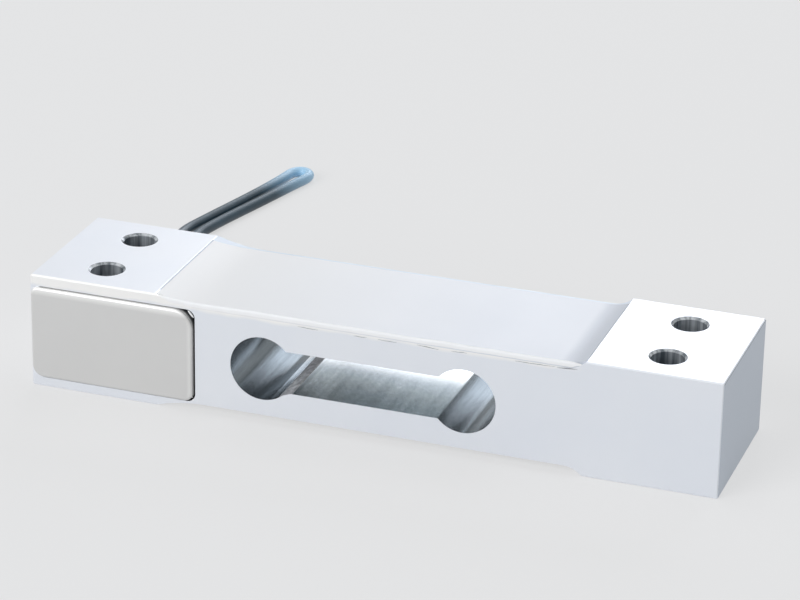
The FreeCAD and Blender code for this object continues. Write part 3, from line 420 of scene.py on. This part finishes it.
# Lid: pressed sheet, its body in the seat and its rolled face lapping the thin end wall
lid = {
    "roll": 0.5 * mm,
    "proud": 0.52 * mm,
    "lap": 0.72 * mm,
    "rise": 0.03 * mm,
    "faceGap": 0.01 * mm,
    "bodyOverlap": 0.05 * mm,
    "rollSteps": 7,
    "cornerSteps": 12,
    "topLeft": 1.4 * mm,
    "topRight": 3.7 * mm,
    "bottomLeft": 2.2 * mm,
    "bottomRight": 1.6 * mm,
    "light": "#dcdbd8",
    "dark": "#d2d1cf",
    # Painted highlight along the rolled rim
    "rim": "#f4f3f0",
    "topRim": (1.5 * mm, 0.5 * mm),
    "rightRim": 1.1 * mm,
    "metallic": 0.45,
    "roughness": (0.36, 0.44),
}


def pressBlock(build, low, high):  # a plate with the lid's four corners; gives back its front rim
    outline = (("bottomLeft", low.x, low.z), ("bottomRight", high.x, low.z),
               ("topRight", high.x, high.z), ("topLeft", low.x, high.z))
    corners = [build.verts.new((x, high.y, z)) for name, x, z in outline]
    build.faces.new(corners)
    for (name, x, z), corner in zip(outline, corners):
        bmesh.ops.bevel(build, geom=[corner], offset=lid[name], offset_type="OFFSET",
                        affect="VERTICES", segments=lid["cornerSteps"], profile=0.5, material=-1)
    plate = next(face for face in build.faces
                 if all(abs(vert.co.y - high.y) < 1e-7 for vert in face.verts))
    grown = bmesh.ops.extrude_face_region(build, geom=[plate])["geom"]
    moved = [item for item in grown if isinstance(item, bmesh.types.BMVert)]
    bmesh.ops.translate(build, verts=moved, vec=(0, low.y - high.y, 0))
    return [item for item in grown if isinstance(item, bmesh.types.BMEdge)]


def makeLid():
    low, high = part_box("pocket_cover")
    faceLow = Vector((low.x - lid["lap"], beamLow.y - lid["proud"], low.z))
    faceHigh = Vector((high.x, beamLow.y - lid["faceGap"], high.z + lid["rise"]))
    build = bmesh.new()
    rim = pressBlock(build, faceLow, faceHigh)
    bmesh.ops.bevel(build, geom=rim, offset=lid["roll"], offset_type="OFFSET", affect="EDGES",
                    segments=lid["rollSteps"], profile=0.5, material=-1)
    pressBlock(build, Vector((low.x, beamLow.y - lid["bodyOverlap"], low.z)), high)
    bmesh.ops.recalc_face_normals(build, faces=build.faces)
    piece = finishPiece(build, "pressed_lid", smoothBelow=100 * mm * mm)
    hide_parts("pocket_cover")
    return piece


def makeLidMaterial():
    # Satin rolled sheet: an even grey, cloudy over a few centimetres, with a painted highlight
    # along the rolled rim at the top and right.
    material, tree, shader, place = startMaterial("satin_sheet")
    low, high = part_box("pocket_cover")
    clouds = addNode(tree, "ShaderNodeTexNoise", {"Vector": place, "Scale": 60, "Detail": 3}, "Fac")
    lines = addNode(tree, "ShaderNodeTexNoise", {
        "Vector": addNode(tree, "ShaderNodeMapping", {"Vector": place, "Scale": (0.04, 1, 1)}),
        "Scale": 2200, "Detail": 3}, "Fac")  # rolling lines, 0.5 mm apart
    tone = addNode(tree, "ShaderNodeMix",
                   {0: clouds, 6: colour(lid["light"]), 7: colour(lid["dark"])}, 2,
                   data_type="RGBA")
    axes = addNode(tree, "ShaderNodeSeparateXYZ", {"Vector": place}).node.outputs
    top = addNode(tree, "ShaderNodeMapRange",
                  {"Value": axes["Z"], "From Min": high.z - lid["topRim"][0],
                   "From Max": high.z - lid["topRim"][1]})
    right = addNode(tree, "ShaderNodeMapRange",
                    {"Value": axes["X"], "From Min": high.x - lid["rightRim"], "From Max": high.x,
                     "To Max": 0.7})
    rim = addNode(tree, "ShaderNodeMath", {0: top, 1: right}, operation="MAXIMUM")
    tone = addNode(tree, "ShaderNodeMix", {0: rim, 6: tone, 7: colour(lid["rim"])}, 2,
                   data_type="RGBA")
    tree.links.new(tone, shader["Base Color"])
    tree.links.new(addNode(tree, "ShaderNodeMapRange",
                           {"Value": clouds, "To Min": lid["roughness"][0],
                            "To Max": lid["roughness"][1]}), shader["Roughness"])
    shader["Metallic"].default_value = lid["metallic"]
    tree.links.new(addNode(tree, "ShaderNodeBump",
                           {"Height": lines, "Strength": 0.12, "Distance": 0.03 * mm}),
                   shader["Normal"])
    return material


cover([makeLid()], makeLidMaterial())
print("lid pressed")


# Sealant: the strips on the recess floors, and the lip squeezed out of the upper one
sealant = {
    "light": "#e4e6ea",
    "dark": "#dbdee3",
    # Painted shade where the strip meets each pad
    "thick": "#c9cdd4",
    # Painted highlight: the lip whiter than the strips
    "bead": "#ffffff",
    "pale": "#f5f4f2",
    # Painted shade beside the right pad and at the strip's left end; paler towards the left
    "rightPadShadeFrom": (35.4 * mm, 37.4 * mm),
    # Paler towards the left
    "paleTowardsLeft": (20 * mm, -34 * mm),
    "edgeFrom": (-40.3 * mm, -40.0 * mm),
    "roughness": (0.26, 0.36),
    "lipStep": 1.0 * mm,
    "lipStart": -40.4 * mm,
    "lipEnd": 40.6 * mm,
    "lipLevel": 20.92 * mm,
    "lipHeight": 0.62 * mm,
    "lipDepth": 0.26 * mm,
    "lipTaper": (0.35, 0.25),  # height at each end, and how much each step adds
    "lipSink": 0.22 * mm,
    "lipWave": (0.08 * mm, 0.05 * mm),
    "lipSwell": (0.14, 0.10),
    "leftCurve": 60.0 * mm,
    "flatStart": -31.6 * mm,
    "sides": 14,
    "crumbSink": 0.1 * mm,
    "crumbsAndShadeBreaks": (  # scraps in the corners of the lid's seat: place, half sizes and turn
        (-33.38 * mm, 19.12 * mm, (0.85 * mm, 0.12 * mm, 0.2 * mm), 0.85),
        (-33.0 * mm, 2.2 * mm, (0.35 * mm, 0.12 * mm, 0.18 * mm), -0.7),
        (-33.3 * mm, 2.75 * mm, (0.2 * mm, 0.12 * mm, 0.14 * mm), 0.4),
    ),
}
# Painted shadow: thin dark lines just under the lip's lower edge
lipShadow = {
    "tone": "#6c6f73",
    "paleTone": "#b4b7bb",
    "steps": 8,
    "sides": 8,
    "thinnest": 0.12,
    "raggedness": 0.5,
    "depth": 0.05,
    "standOff": 0.02,
    "flecks": (  # start, end, height at each and half thickness; all here in millimetres
        (-12.8, -9.0, 20.10, 19.98, 0.05),
        (-2.2, 0.2, 20.00, 20.02, 0.05),
        (2.3, 5.8, 20.04, 20.00, 0.04),
        (9.6, 13.6, 20.22, 19.95, 0.055),
        (16.0, 18.8, 20.02, 20.14, 0.04),
        (27.6, 34.9, 20.10, 20.22, 0.06),
        (35.2, 38.9, 20.14, 20.36, 0.10),
    ),
}


def sweepBead(build, stations, sides):  # each station: its place, half depth and half height
    loops = []
    for x, y, z, depth, height in stations:
        place = Matrix.Translation((x, y, z)) @ Matrix.Rotation(math.pi / 2, 4, "Y")
        ring = bmesh.ops.create_circle(build, cap_ends=False, segments=sides, radius=1,
                                       matrix=place @ Matrix.Diagonal((height, depth, 1, 1)))
        loops.append(list({edge for vert in ring["verts"] for edge in vert.link_edges}))
    for first, second in zip(loops, loops[1:]):
        bmesh.ops.bridge_loops(build, edges=first + second)
    for loop in (loops[0], loops[-1]):
        bmesh.ops.edgeloop_fill(build, edges=loop)


def makeLip():
    build = bmesh.new()
    stations = []
    count = round((sealant["lipEnd"] - sealant["lipStart"]) / sealant["lipStep"])
    for step in range(count + 1):
        x = sealant["lipStart"] + step * sealant["lipStep"]
        taper = min(1, sealant["lipTaper"][0] + min(step, count - step) * sealant["lipTaper"][1])
        slow = noise.noise(Vector((x * 140, 0.3, 0.7)))
        quick = noise.noise(Vector((x * 420, 4.1, 2.2)))
        rise = max(0, sealant["flatStart"] - x)
        level = sealant["lipLevel"] + rise ** 2 / (2 * sealant["leftCurve"])
        level += sealant["lipWave"][0] * slow - sealant["lipWave"][1] * quick
        swell = taper * (1 + sealant["lipSwell"][0] * slow + sealant["lipSwell"][1] * quick)
        stations.append((x, beamLow.y + sealant["lipSink"], level,
                         sealant["lipDepth"] * taper, sealant["lipHeight"] * swell))
    sweepBead(build, stations, sealant["sides"])
    for x, z, half, turn in sealant["crumbsAndShadeBreaks"]:
        place = Matrix.Translation((x, beamLow.y + sealant["crumbSink"], z))
        place = place @ Matrix.Rotation(turn, 4, "Y")
        bmesh.ops.create_icosphere(build, subdivisions=3, radius=1,
                                   matrix=place @ Matrix.Diagonal((*half, 1)))
    bmesh.ops.recalc_face_normals(build, faces=build.faces)
    return finishPiece(build, "sealant_lip")


def makeLipShadow():
    build = bmesh.new()
    for start, end, first, last, thick in lipShadow["flecks"]:
        stations = []
        for step in range(lipShadow["steps"] + 1):
            part = step / lipShadow["steps"]
            ragged = noise.noise(Vector((start + part * 6, first, thick * 90)))
            taper = max(lipShadow["thinnest"], math.sin(math.pi * part))
            taper *= 1 + lipShadow["raggedness"] * ragged
            stations.append(((start + (end - start) * part) * mm,
                             beamLow.y - lipShadow["standOff"] * mm,
                             (first + (last - first) * part + lipShadow["depth"] * ragged) * mm,
                             lipShadow["depth"] * mm, thick * taper * mm))
        sweepBead(build, stations, lipShadow["sides"])
    bmesh.ops.recalc_face_normals(build, faces=build.faces)
    return finishPiece(build, "lip_shadow_lines")


def makeSealantMaterial():
    # Cured silicone: milky, softly glossy and a little uneven, paler towards the left, with painted
    # shade beside the right pad and at the left end.
    material, tree, shader, place = startMaterial("cured_silicone")
    clouds = addNode(tree, "ShaderNodeTexNoise", {"Vector": place, "Scale": 50, "Detail": 3}, "Fac")
    ripples = addNode(tree, "ShaderNodeTexNoise", {"Vector": place, "Scale": 350, "Detail": 2},
                      "Fac")  # 3 mm ripples left by the spatula
    axes = addNode(tree, "ShaderNodeSeparateXYZ", {"Vector": place}).node.outputs
    spans = [
        addNode(tree, "ShaderNodeMapRange",
                {"Value": axes["X"], "From Min": sealant[name][0], "From Max": sealant[name][1],
                 "To Min": low, "To Max": high}, interpolation_type=curve)
        for name, low, high, curve in (("paleTowardsLeft", 0, 1, "LINEAR"),
                                       ("rightPadShadeFrom", 0, 1, "SMOOTHSTEP"),
                                       ("edgeFrom", 0.9, 0, "LINEAR"))]
    thick = addNode(tree, "ShaderNodeMath", {0: spans[1], 1: spans[2]}, operation="MAXIMUM")
    tone = colour(sealant["light"])
    for share, name in ((clouds, "dark"), (spans[0], "pale"), (thick, "thick")):
        tone = addNode(tree, "ShaderNodeMix", {0: share, 6: tone, 7: colour(sealant[name])}, 2,
                       data_type="RGBA")
    tree.links.new(tone, shader["Base Color"])
    tree.links.new(addNode(tree, "ShaderNodeMapRange",
                           {"Value": clouds, "To Min": sealant["roughness"][0],
                            "To Max": sealant["roughness"][1]}), shader["Roughness"])
    tree.links.new(addNode(tree, "ShaderNodeBump",
                           {"Height": ripples, "Strength": 0.08, "Distance": 0.1 * mm}),
                   shader["Normal"])
    return material


def makeBeadMaterial():
    # The same silicone, painted whiter than the strips as a highlight along the lip, with fine
    # ripples.
    material, tree, shader, place = startMaterial("squeezed_silicone")
    clouds = addNode(tree, "ShaderNodeTexNoise", {"Vector": place, "Scale": 240, "Detail": 3},
                     "Fac")
    tone = addNode(tree, "ShaderNodeMix",
                   {0: clouds, 6: colour(sealant["bead"]), 7: colour(sealant["pale"])}, 2,
                   data_type="RGBA")
    tree.links.new(tone, shader["Base Color"])
    shader["Roughness"].default_value = 0.35
    tree.links.new(addNode(tree, "ShaderNodeBump",
                           {"Height": clouds, "Strength": 0.3, "Distance": 0.15 * mm}),
                   shader["Normal"])
    return material


def makeLipShadowMaterial():
    # Painted shadow: thin dark lines under the lip's lower edge, dull and broken up.
    material, tree, shader, place = startMaterial("painted_shadow_lines")
    shadowPatches = addNode(tree, "ShaderNodeTexNoise", {"Vector": place, "Scale": 1500, "Detail": 3},
                     "Fac")
    tree.links.new(addNode(tree, "ShaderNodeMix",
                           {0: shadowPatches, 6: colour(lipShadow["tone"]), 7: colour(lipShadow["paleTone"])}, 2,
                           data_type="RGBA"), shader["Base Color"])
    shader["Roughness"].default_value = 0.8
    return material


cover([nodes["strip_top"], nodes["strip_under"]], makeSealantMaterial())
cover([makeLip()], makeBeadMaterial())
cover([makeLipShadow()], makeLipShadowMaterial())
print("sealant laid")


# Threads inside the four bolt holes
thread = {
    "pitch": 1.0 * mm,
    "depth": 0.45 * mm,
    "flank": 0.42,  # share of the pitch
    "radius": 3.02 * mm,
    "lead": 2.4 * mm,
    "holeX": 53.0 * mm,
    "holeY": 7.5 * mm,
    "steps": 40,
    "light": "#bcc3c9",
    "dark": "#838b92",
}


def makeThread(name, x, y):
    build = bmesh.new()
    flank = thread["pitch"] * thread["flank"]
    low = thread["lead"]
    turns = int((beamHigh.z - 2 * low) / thread["pitch"])
    section = [build.verts.new((x + radius, y, low + up)) for radius, up in (
        (thread["radius"], -flank), (thread["radius"] - thread["depth"], 0),
        (thread["radius"], flank))]
    edges = [build.edges.new((section[side], section[(side + 1) % 3])) for side in range(3)]
    steps = turns * thread["steps"]
    bmesh.ops.spin(build, geom=section + edges, cent=(x, y, 0), axis=(0, 0, 1),
                   dvec=(0, 0, thread["pitch"] / thread["steps"]), angle=2 * math.pi * turns,
                   steps=steps, use_merge=False, use_duplicate=False)
    ends = [edge for edge in build.edges if len(edge.link_faces) == 1]
    bmesh.ops.holes_fill(build, edges=ends, sides=3)
    bmesh.ops.recalc_face_normals(build, faces=build.faces)
    return finishPiece(build, name)


def makeThreadMaterial():
    # Freshly tapped metal: bright crests, darker where cutting oil stayed in the roots.
    material, tree, shader, place = startMaterial("tapped_aluminium")
    oil = addNode(tree, "ShaderNodeTexNoise", {"Vector": place, "Scale": 420, "Detail": 3}, "Fac")
    fine = addNode(tree, "ShaderNodeTexNoise", {"Vector": place, "Scale": 4000, "Detail": 2}, "Fac")
    tree.links.new(addNode(tree, "ShaderNodeMix",
                           {0: oil, 6: colour(thread["light"]), 7: colour(thread["dark"])}, 2,
                           data_type="RGBA"), shader["Base Color"])
    tree.links.new(addNode(tree, "ShaderNodeMapRange",
                           {"Value": oil, "To Min": 0.16, "To Max": 0.32}), shader["Roughness"])
    shader["Metallic"].default_value = 1.0
    tree.links.new(addNode(tree, "ShaderNodeBump",
                           {"Height": fine, "Strength": 0.2, "Distance": 0.02 * mm}),
                   shader["Normal"])
    return material


threads = [makeThread(f"thread_{end}_{side}", x * thread["holeX"], y * thread["holeY"])
           for end, x in (("base", -1), ("load", 1)) for side, y in (("front", -1), ("back", 1))]
cover(threads, makeThreadMaterial())
print("threads tapped")


# Cable, its grommet, tie, sleeve and leads
cableLook = {
    "light": "#345160",
    "dark": "#1f333f",
    # Painted highlight: pale blue over the fold at the far end
    "foldHighlight": "#b3dcf7",
    "foldHighlightFrom": 86 * mm,
    "foldHighlightTo": 100 * mm,
    "foldHighlightMost": 0.95,
    "roughness": (0.26, 0.36),
}


def makeJacketMaterial():
    # Extruded PVC: fine lines along its length, a soft shine, and a painted pale blue highlight
    # over the fold.
    material, tree, shader, place = startMaterial("extruded_pvc")
    tone = addNode(tree, "ShaderNodeTexNoise", {"Vector": place, "Scale": 300, "Detail": 3}, "Fac")
    scuffs = addNode(tree, "ShaderNodeTexNoise", {"Vector": place, "Scale": 2500, "Detail": 3},
                     "Fac")
    axes = addNode(tree, "ShaderNodeSeparateXYZ", {"Vector": place}).node.outputs
    foldHighlight = addNode(tree, "ShaderNodeMapRange",
                    {"Value": axes["Y"], "From Min": cableLook["foldHighlightFrom"],
                     "From Max": cableLook["foldHighlightTo"], "To Max": cableLook["foldHighlightMost"]})
    base = addNode(tree, "ShaderNodeMix",
                   {0: tone, 6: colour(cableLook["light"]), 7: colour(cableLook["dark"])}, 2,
                   data_type="RGBA")
    base = addNode(tree, "ShaderNodeMix", {0: foldHighlight, 6: base, 7: colour(cableLook["foldHighlight"])}, 2,
                   data_type="RGBA")
    tree.links.new(base, shader["Base Color"])
    tree.links.new(addNode(tree, "ShaderNodeMapRange",
                           {"Value": tone, "To Min": cableLook["roughness"][0],
                            "To Max": cableLook["roughness"][1]}), shader["Roughness"])
    tree.links.new(addNode(tree, "ShaderNodeBump",
                           {"Height": scuffs, "Strength": 0.12, "Distance": 0.03 * mm}),
                   shader["Normal"])
    return material


def makeRubberMaterial():
    # Moulded rubber: near black, dull, with a fine pebbled skin and a trace of bloom.
    material, tree, shader, place = startMaterial("moulded_rubber")
    pebble = addNode(tree, "ShaderNodeTexNoise", {"Vector": place, "Scale": 3000, "Detail": 2},
                     "Fac")
    dust = addNode(tree, "ShaderNodeTexNoise", {"Vector": place, "Scale": 260, "Detail": 3}, "Fac")
    tree.links.new(addNode(tree, "ShaderNodeMix",
                           {0: dust, 6: colour("#1c1e20"), 7: colour("#2b2e31")}, 2,
                           data_type="RGBA"), shader["Base Color"])
    tree.links.new(addNode(tree, "ShaderNodeMapRange",
                           {"Value": dust, "To Min": 0.45, "To Max": 0.6}), shader["Roughness"])
    tree.links.new(addNode(tree, "ShaderNodeBump",
                           {"Height": pebble, "Strength": 0.25, "Distance": 0.03 * mm}),
                   shader["Normal"])
    return material


def makeNylonMaterial():
    # Moulded nylon: black, waxy, with faint flow marks.
    material, tree, shader, place = startMaterial("moulded_nylon")
    flow = addNode(tree, "ShaderNodeTexNoise", {"Vector": place, "Scale": 500, "Detail": 2}, "Fac")
    tree.links.new(addNode(tree, "ShaderNodeMix",
                           {0: flow, 6: colour("#222427"), 7: colour("#303337")}, 2,
                           data_type="RGBA"), shader["Base Color"])
    tree.links.new(addNode(tree, "ShaderNodeMapRange",
                           {"Value": flow, "To Min": 0.34, "To Max": 0.44}), shader["Roughness"])
    tree.links.new(addNode(tree, "ShaderNodeBump",
                           {"Height": flow, "Strength": 0.15, "Distance": 0.03 * mm}),
                   shader["Normal"])
    return material


def makeSleeveMaterial():
    # Shrunk polyolefin sleeve: black and smooth, drawn into soft wrinkles round the cable.
    material, tree, shader, place = startMaterial("shrunk_polyolefin")
    wrinkles = addNode(tree, "ShaderNodeTexNoise", {
        "Vector": addNode(tree, "ShaderNodeMapping", {"Vector": place, "Scale": (1, 0.2, 0.2)}),
        "Scale": 900, "Detail": 2}, "Fac")
    tree.links.new(addNode(tree, "ShaderNodeMix",
                           {0: wrinkles, 6: colour("#17191b"), 7: colour("#25282b")}, 2,
                           data_type="RGBA"), shader["Base Color"])
    tree.links.new(addNode(tree, "ShaderNodeMapRange",
                           {"Value": wrinkles, "To Min": 0.26, "To Max": 0.36}),
                   shader["Roughness"])
    tree.links.new(addNode(tree, "ShaderNodeBump",
                           {"Height": wrinkles, "Strength": 0.3, "Distance": 0.06 * mm}),
                   shader["Normal"])
    return material


def makeInsulationMaterial(name, light, dark):
    # Thin extruded insulation: glossy and even, with faint lines from the die.
    material, tree, shader, place = startMaterial(name + "_insulation")
    lines = addNode(tree, "ShaderNodeTexNoise", {
        "Vector": addNode(tree, "ShaderNodeMapping", {"Vector": place, "Scale": (0.1, 1, 1)}),
        "Scale": 2400, "Detail": 2}, "Fac")
    tree.links.new(addNode(tree, "ShaderNodeMix",
                           {0: lines, 6: colour(light), 7: colour(dark)}, 2,
                           data_type="RGBA"), shader["Base Color"])
    shader["Roughness"].default_value = 0.3
    tree.links.new(addNode(tree, "ShaderNodeBump",
                           {"Height": lines, "Strength": 0.12, "Distance": 0.02 * mm}),
                   shader["Normal"])
    return material


def makeStrandMaterial():
    # Tinned copper strands twisted together: bright ridges about 0.25 mm apart.
    material, tree, shader, place = startMaterial("tinned_copper")
    twist = addNode(tree, "ShaderNodeTexWave",
                    {"Vector": place, "Scale": 1200, "Distortion": 0.6}, "Fac",
                    bands_direction="DIAGONAL")
    tree.links.new(addNode(tree, "ShaderNodeMix",
                           {0: twist, 6: colour("#8f9193"), 7: colour("#d2d3d3")}, 2,
                           data_type="RGBA"), shader["Base Color"])
    shader["Metallic"].default_value = 1.0
    shader["Roughness"].default_value = 0.3
    tree.links.new(addNode(tree, "ShaderNodeBump",
                           {"Height": twist, "Strength": 0.6, "Distance": 0.08 * mm}),
                   shader["Normal"])
    return material


cover([signalCable, nodes["cable_lead_in"]], makeJacketMaterial())
cover([nodes["cable_grommet"]], makeRubberMaterial())
cover([nodes["coil_tie"]], makeNylonMaterial())
cover([nodes["end_sleeve"]], makeSleeveMaterial())
cover([nodes["lead_drain"]], makeStrandMaterial())
leadColours = {
    "red": ("#b8241e", "#9c1c17"),
    "black": ("#1f2022", "#131416"),
    "green": ("#1f8040", "#166632"),
    "white": ("#ecebe7", "#dcdbd6"),
}
for name, (light, dark) in leadColours.items():
    cover([nodes["core_" + name], nodes["lead_" + name]],
          makeInsulationMaterial(name, light, dark))
print("cable finished")


# Inside the pocket and under the strips
def makeGasketMaterial():
    # Adhesive bead under the lid, painted near black as the shade in the gap round the lid.
    material, tree, shader, place = startMaterial("adhesive_painted_dark")
    dust = addNode(tree, "ShaderNodeTexNoise", {"Vector": place, "Scale": 500, "Detail": 3}, "Fac")
    tree.links.new(addNode(tree, "ShaderNodeMix",
                           {0: dust, 6: colour("#232527"), 7: colour("#3b3e41")}, 2,
                           data_type="RGBA"), shader["Base Color"])
    shader["Roughness"].default_value = 0.6
    tree.links.new(addNode(tree, "ShaderNodeBump",
                           {"Height": dust, "Strength": 0.3, "Distance": 0.1 * mm}),
                   shader["Normal"])
    return material


def makeBoardMaterial():
    # Green lacquer over glass weave, which shows as a faint 0.5 mm check.
    material, tree, shader, place = startMaterial("lacquered_laminate")
    weave = addNode(tree, "ShaderNodeTexChecker", {"Vector": place, "Scale": 2000}, "Fac")
    clouds = addNode(tree, "ShaderNodeTexNoise", {"Vector": place, "Scale": 300, "Detail": 2},
                     "Fac")
    tree.links.new(addNode(tree, "ShaderNodeMix",
                           {0: clouds, 6: colour("#1c5a2f"), 7: colour("#154824")}, 2,
                           data_type="RGBA"), shader["Base Color"])
    shader["Roughness"].default_value = 0.3
    shader["Coat Weight"].default_value = 0.3
    tree.links.new(addNode(tree, "ShaderNodeBump",
                           {"Height": weave, "Strength": 0.1, "Distance": 0.02 * mm}),
                   shader["Normal"])
    return material


def makeTapeMaterial():
    # Foam tape: dull white with open cells about a millimetre across.
    material, tree, shader, place = startMaterial("foam_tape")
    cells = addNode(tree, "ShaderNodeTexVoronoi", {"Vector": place, "Scale": 1100}, "Distance")
    tree.links.new(addNode(tree, "ShaderNodeMix",
                           {0: cells, 6: colour("#e6e4de"), 7: colour("#cfcdc5")}, 2,
                           data_type="RGBA"), shader["Base Color"])
    shader["Roughness"].default_value = 0.85
    tree.links.new(addNode(tree, "ShaderNodeBump",
                           {"Height": cells, "Strength": 0.4, "Distance": 0.15 * mm}),
                   shader["Normal"])
    return material


def makeChipMaterial():
    # Glazed chip resistor: black glass with a slight orange-peel skin.
    material, tree, shader, place = startMaterial("glazed_ceramic")
    peel = addNode(tree, "ShaderNodeTexNoise", {"Vector": place, "Scale": 2500, "Detail": 2}, "Fac")
    tree.links.new(addNode(tree, "ShaderNodeMix",
                           {0: peel, 6: colour("#2b2b2e"), 7: colour("#1b1b1d")}, 2,
                           data_type="RGBA"), shader["Base Color"])
    shader["Roughness"].default_value = 0.22
    tree.links.new(addNode(tree, "ShaderNodeBump",
                           {"Height": peel, "Strength": 0.2, "Distance": 0.02 * mm}),
                   shader["Normal"])
    return material


def makeFoilMaterial():
    # Etched copper-nickel foil: warm and satin, slightly tarnished in patches.
    material, tree, shader, place = startMaterial("etched_foil")
    tarnish = addNode(tree, "ShaderNodeTexNoise", {"Vector": place, "Scale": 700, "Detail": 3},
                      "Fac")
    tree.links.new(addNode(tree, "ShaderNodeMix",
                           {0: tarnish, 6: colour("#cf926a"), 7: colour("#a96a46")}, 2,
                           data_type="RGBA"), shader["Base Color"])
    shader["Metallic"].default_value = 1.0
    tree.links.new(addNode(tree, "ShaderNodeMapRange",
                           {"Value": tarnish, "To Min": 0.22, "To Max": 0.4}), shader["Roughness"])
    return material


def makeFilmMaterial():
    # Strain gauge: amber polyimide film with the foil grid's lines, 0.5 mm apart, showing through.
    material, tree, shader, place = startMaterial("polyimide_film")
    grid = addNode(tree, "ShaderNodeTexWave", {"Vector": place, "Scale": 320}, "Fac",
                   bands_direction="Y")
    lines = addNode(tree, "ShaderNodeMapRange", {"Value": grid, "From Min": 0.45, "From Max": 0.55})
    tree.links.new(addNode(tree, "ShaderNodeMix",
                           {0: lines, 6: colour("#c78f3c"), 7: colour("#8f6a3c")}, 2,
                           data_type="RGBA"), shader["Base Color"])
    shader["Roughness"].default_value = 0.32
    tree.links.new(addNode(tree, "ShaderNodeBump",
                           {"Height": lines, "Strength": 0.2, "Distance": 0.02 * mm}),
                   shader["Normal"])
    return material


def makeWireMaterial():
    # Enamelled winding wire: reddish brown under a thin clear varnish.
    material, tree, shader, place = startMaterial("enamelled_copper")
    varnish = addNode(tree, "ShaderNodeTexNoise", {"Vector": place, "Scale": 1500, "Detail": 2},
                      "Fac")
    tree.links.new(addNode(tree, "ShaderNodeMix",
                           {0: varnish, 6: colour("#8f4d24"), 7: colour("#6c3619")}, 2,
                           data_type="RGBA"), shader["Base Color"])
    shader["Metallic"].default_value = 0.4
    shader["Roughness"].default_value = 0.22
    shader["Coat Weight"].default_value = 0.4
    return material


cover([nodes["cover_seal"]], makeGasketMaterial())
cover([nodes["bridge_board"]], makeBoardMaterial())
cover([nodes["board_tape"]], makeTapeMaterial())
cover([nodes[name] for name in ("zero_resistor", "span_resistor", "temperature_resistor")],
      makeChipMaterial())
sides = ("top", "under")
cover([nodes[f"gauge_{side}_{end}"] for side in sides for end in ("left", "right")],
      makeFilmMaterial())
cover([nodes[f"{kind}_{side}{where}"] for side in sides
       for kind, where in (("tab", ""), ("link", "_near"), ("link", "_far"))], makeFoilMaterial())
cover([nodes["feed_" + side] for side in sides], makeWireMaterial())
print("inside finished")


# Stage: pale paper floor, grey surroundings and three soft lamps
stage = {
    "floor": "#e7e7e7",
    "floorShown": "#ebebeb",
    "floorEven": 0.7,
    "floorSize": 6.0,
    "background": "#e1e1e1",
    "surroundings": "#dfe5ec",
    "surroundingsStrength": 0.36,
    "lamps": {
        "frontBox": {"at": (-0.9, -1.4, 0.9), "size": (1.4, 1.0), "watts": 22, "tone": "#fbfcff"},
        "topBox": {"at": (0.1, 0.5, 1.5), "size": (1.6, 1.2), "watts": 6, "tone": "#ffffff"},
        "backBox": {"at": (0.03, 1.5, 0.75), "size": (1.2, 0.8), "watts": 7, "tone": "#f2f6ff"},
    },
}


def seenShare(tree):  # 1 for the camera, glossy and clear surfaces, 0 for the rest of the light
    rays = addNode(tree, "ShaderNodeLightPath", {}).node.outputs
    share = rays["Is Camera Ray"]
    for name in ("Is Glossy Ray", "Is Transmission Ray"):
        share = addNode(tree, "ShaderNodeMath", {0: share, 1: rays[name]}, operation="MAXIMUM")
    return share


def makeFloor():
    build = bmesh.new()
    bmesh.ops.create_grid(build, x_segments=1, y_segments=1, size=stage["floorSize"] / 2)
    data = bpy.data.meshes.new("floor")
    build.to_mesh(data)
    build.free()
    floor = bpy.data.objects.new("floor", data)
    bpy.context.scene.collection.objects.link(floor)
    material, tree, shader, place = startMaterial("paper_floor")
    fibres = addNode(tree, "ShaderNodeTexNoise", {"Vector": place, "Scale": 900, "Detail": 2},
                     "Fac")
    shader["Base Color"].default_value = colour(stage["floor"])
    shader["Roughness"].default_value = 0.9
    shader["Specular IOR Level"].default_value = 0.1
    tree.links.new(addNode(tree, "ShaderNodeBump",
                           {"Height": fibres, "Strength": 0.03, "Distance": 0.05 * mm}),
                   shader["Normal"])
    # Most of what the camera and the metal see of it is even; the rest keeps the soft shadow.
    even = addNode(tree, "ShaderNodeEmission", {"Color": colour(stage["floorShown"])})
    share = addNode(tree, "ShaderNodeMath", {0: seenShare(tree), 1: stage["floorEven"]},
                    operation="MULTIPLY")
    lit = tree.nodes["Principled BSDF"].outputs["BSDF"]
    mixed = addNode(tree, "ShaderNodeMixShader", {0: share, 1: lit, 2: even})
    tree.links.new(mixed, tree.nodes["Material Output"].inputs["Surface"])
    cover([floor], material)


def makeSurroundings():
    # The camera and glossy surfaces see the pale background; the rest of the light is softer.
    world = bpy.data.worlds.new("studio")
    world.use_nodes = True
    bpy.context.scene.world = world
    tree = world.node_tree
    soft = tree.nodes["Background"]
    soft.inputs["Color"].default_value = colour(stage["surroundings"])
    soft.inputs["Strength"].default_value = stage["surroundingsStrength"]
    plain = addNode(tree, "ShaderNodeBackground", {"Color": colour(stage["background"])})
    mixed = addNode(tree, "ShaderNodeMixShader", {0: seenShare(tree), 1: soft.outputs[0], 2: plain})
    tree.links.new(mixed, tree.nodes["World Output"].inputs["Surface"])


def makeLamps():
    for name, lamp in stage["lamps"].items():
        light = bpy.data.lights.new(name, "AREA")
        light.shape = "RECTANGLE"
        light.size, light.size_y = lamp["size"]
        light.energy = lamp["watts"]
        light.color = colour(lamp["tone"])[:3]
        holder = bpy.data.objects.new(name, light)
        bpy.context.scene.collection.objects.link(holder)
        holder.location = lamp["at"]
        holder.rotation_mode = "QUATERNION"
        holder.rotation_quaternion = (-Vector(lamp["at"])).to_track_quat("-Z", "Y")


makeFloor()
makeSurroundings()
makeLamps()
bpy.context.scene.view_settings.view_transform = "Standard"
print("stage lit")
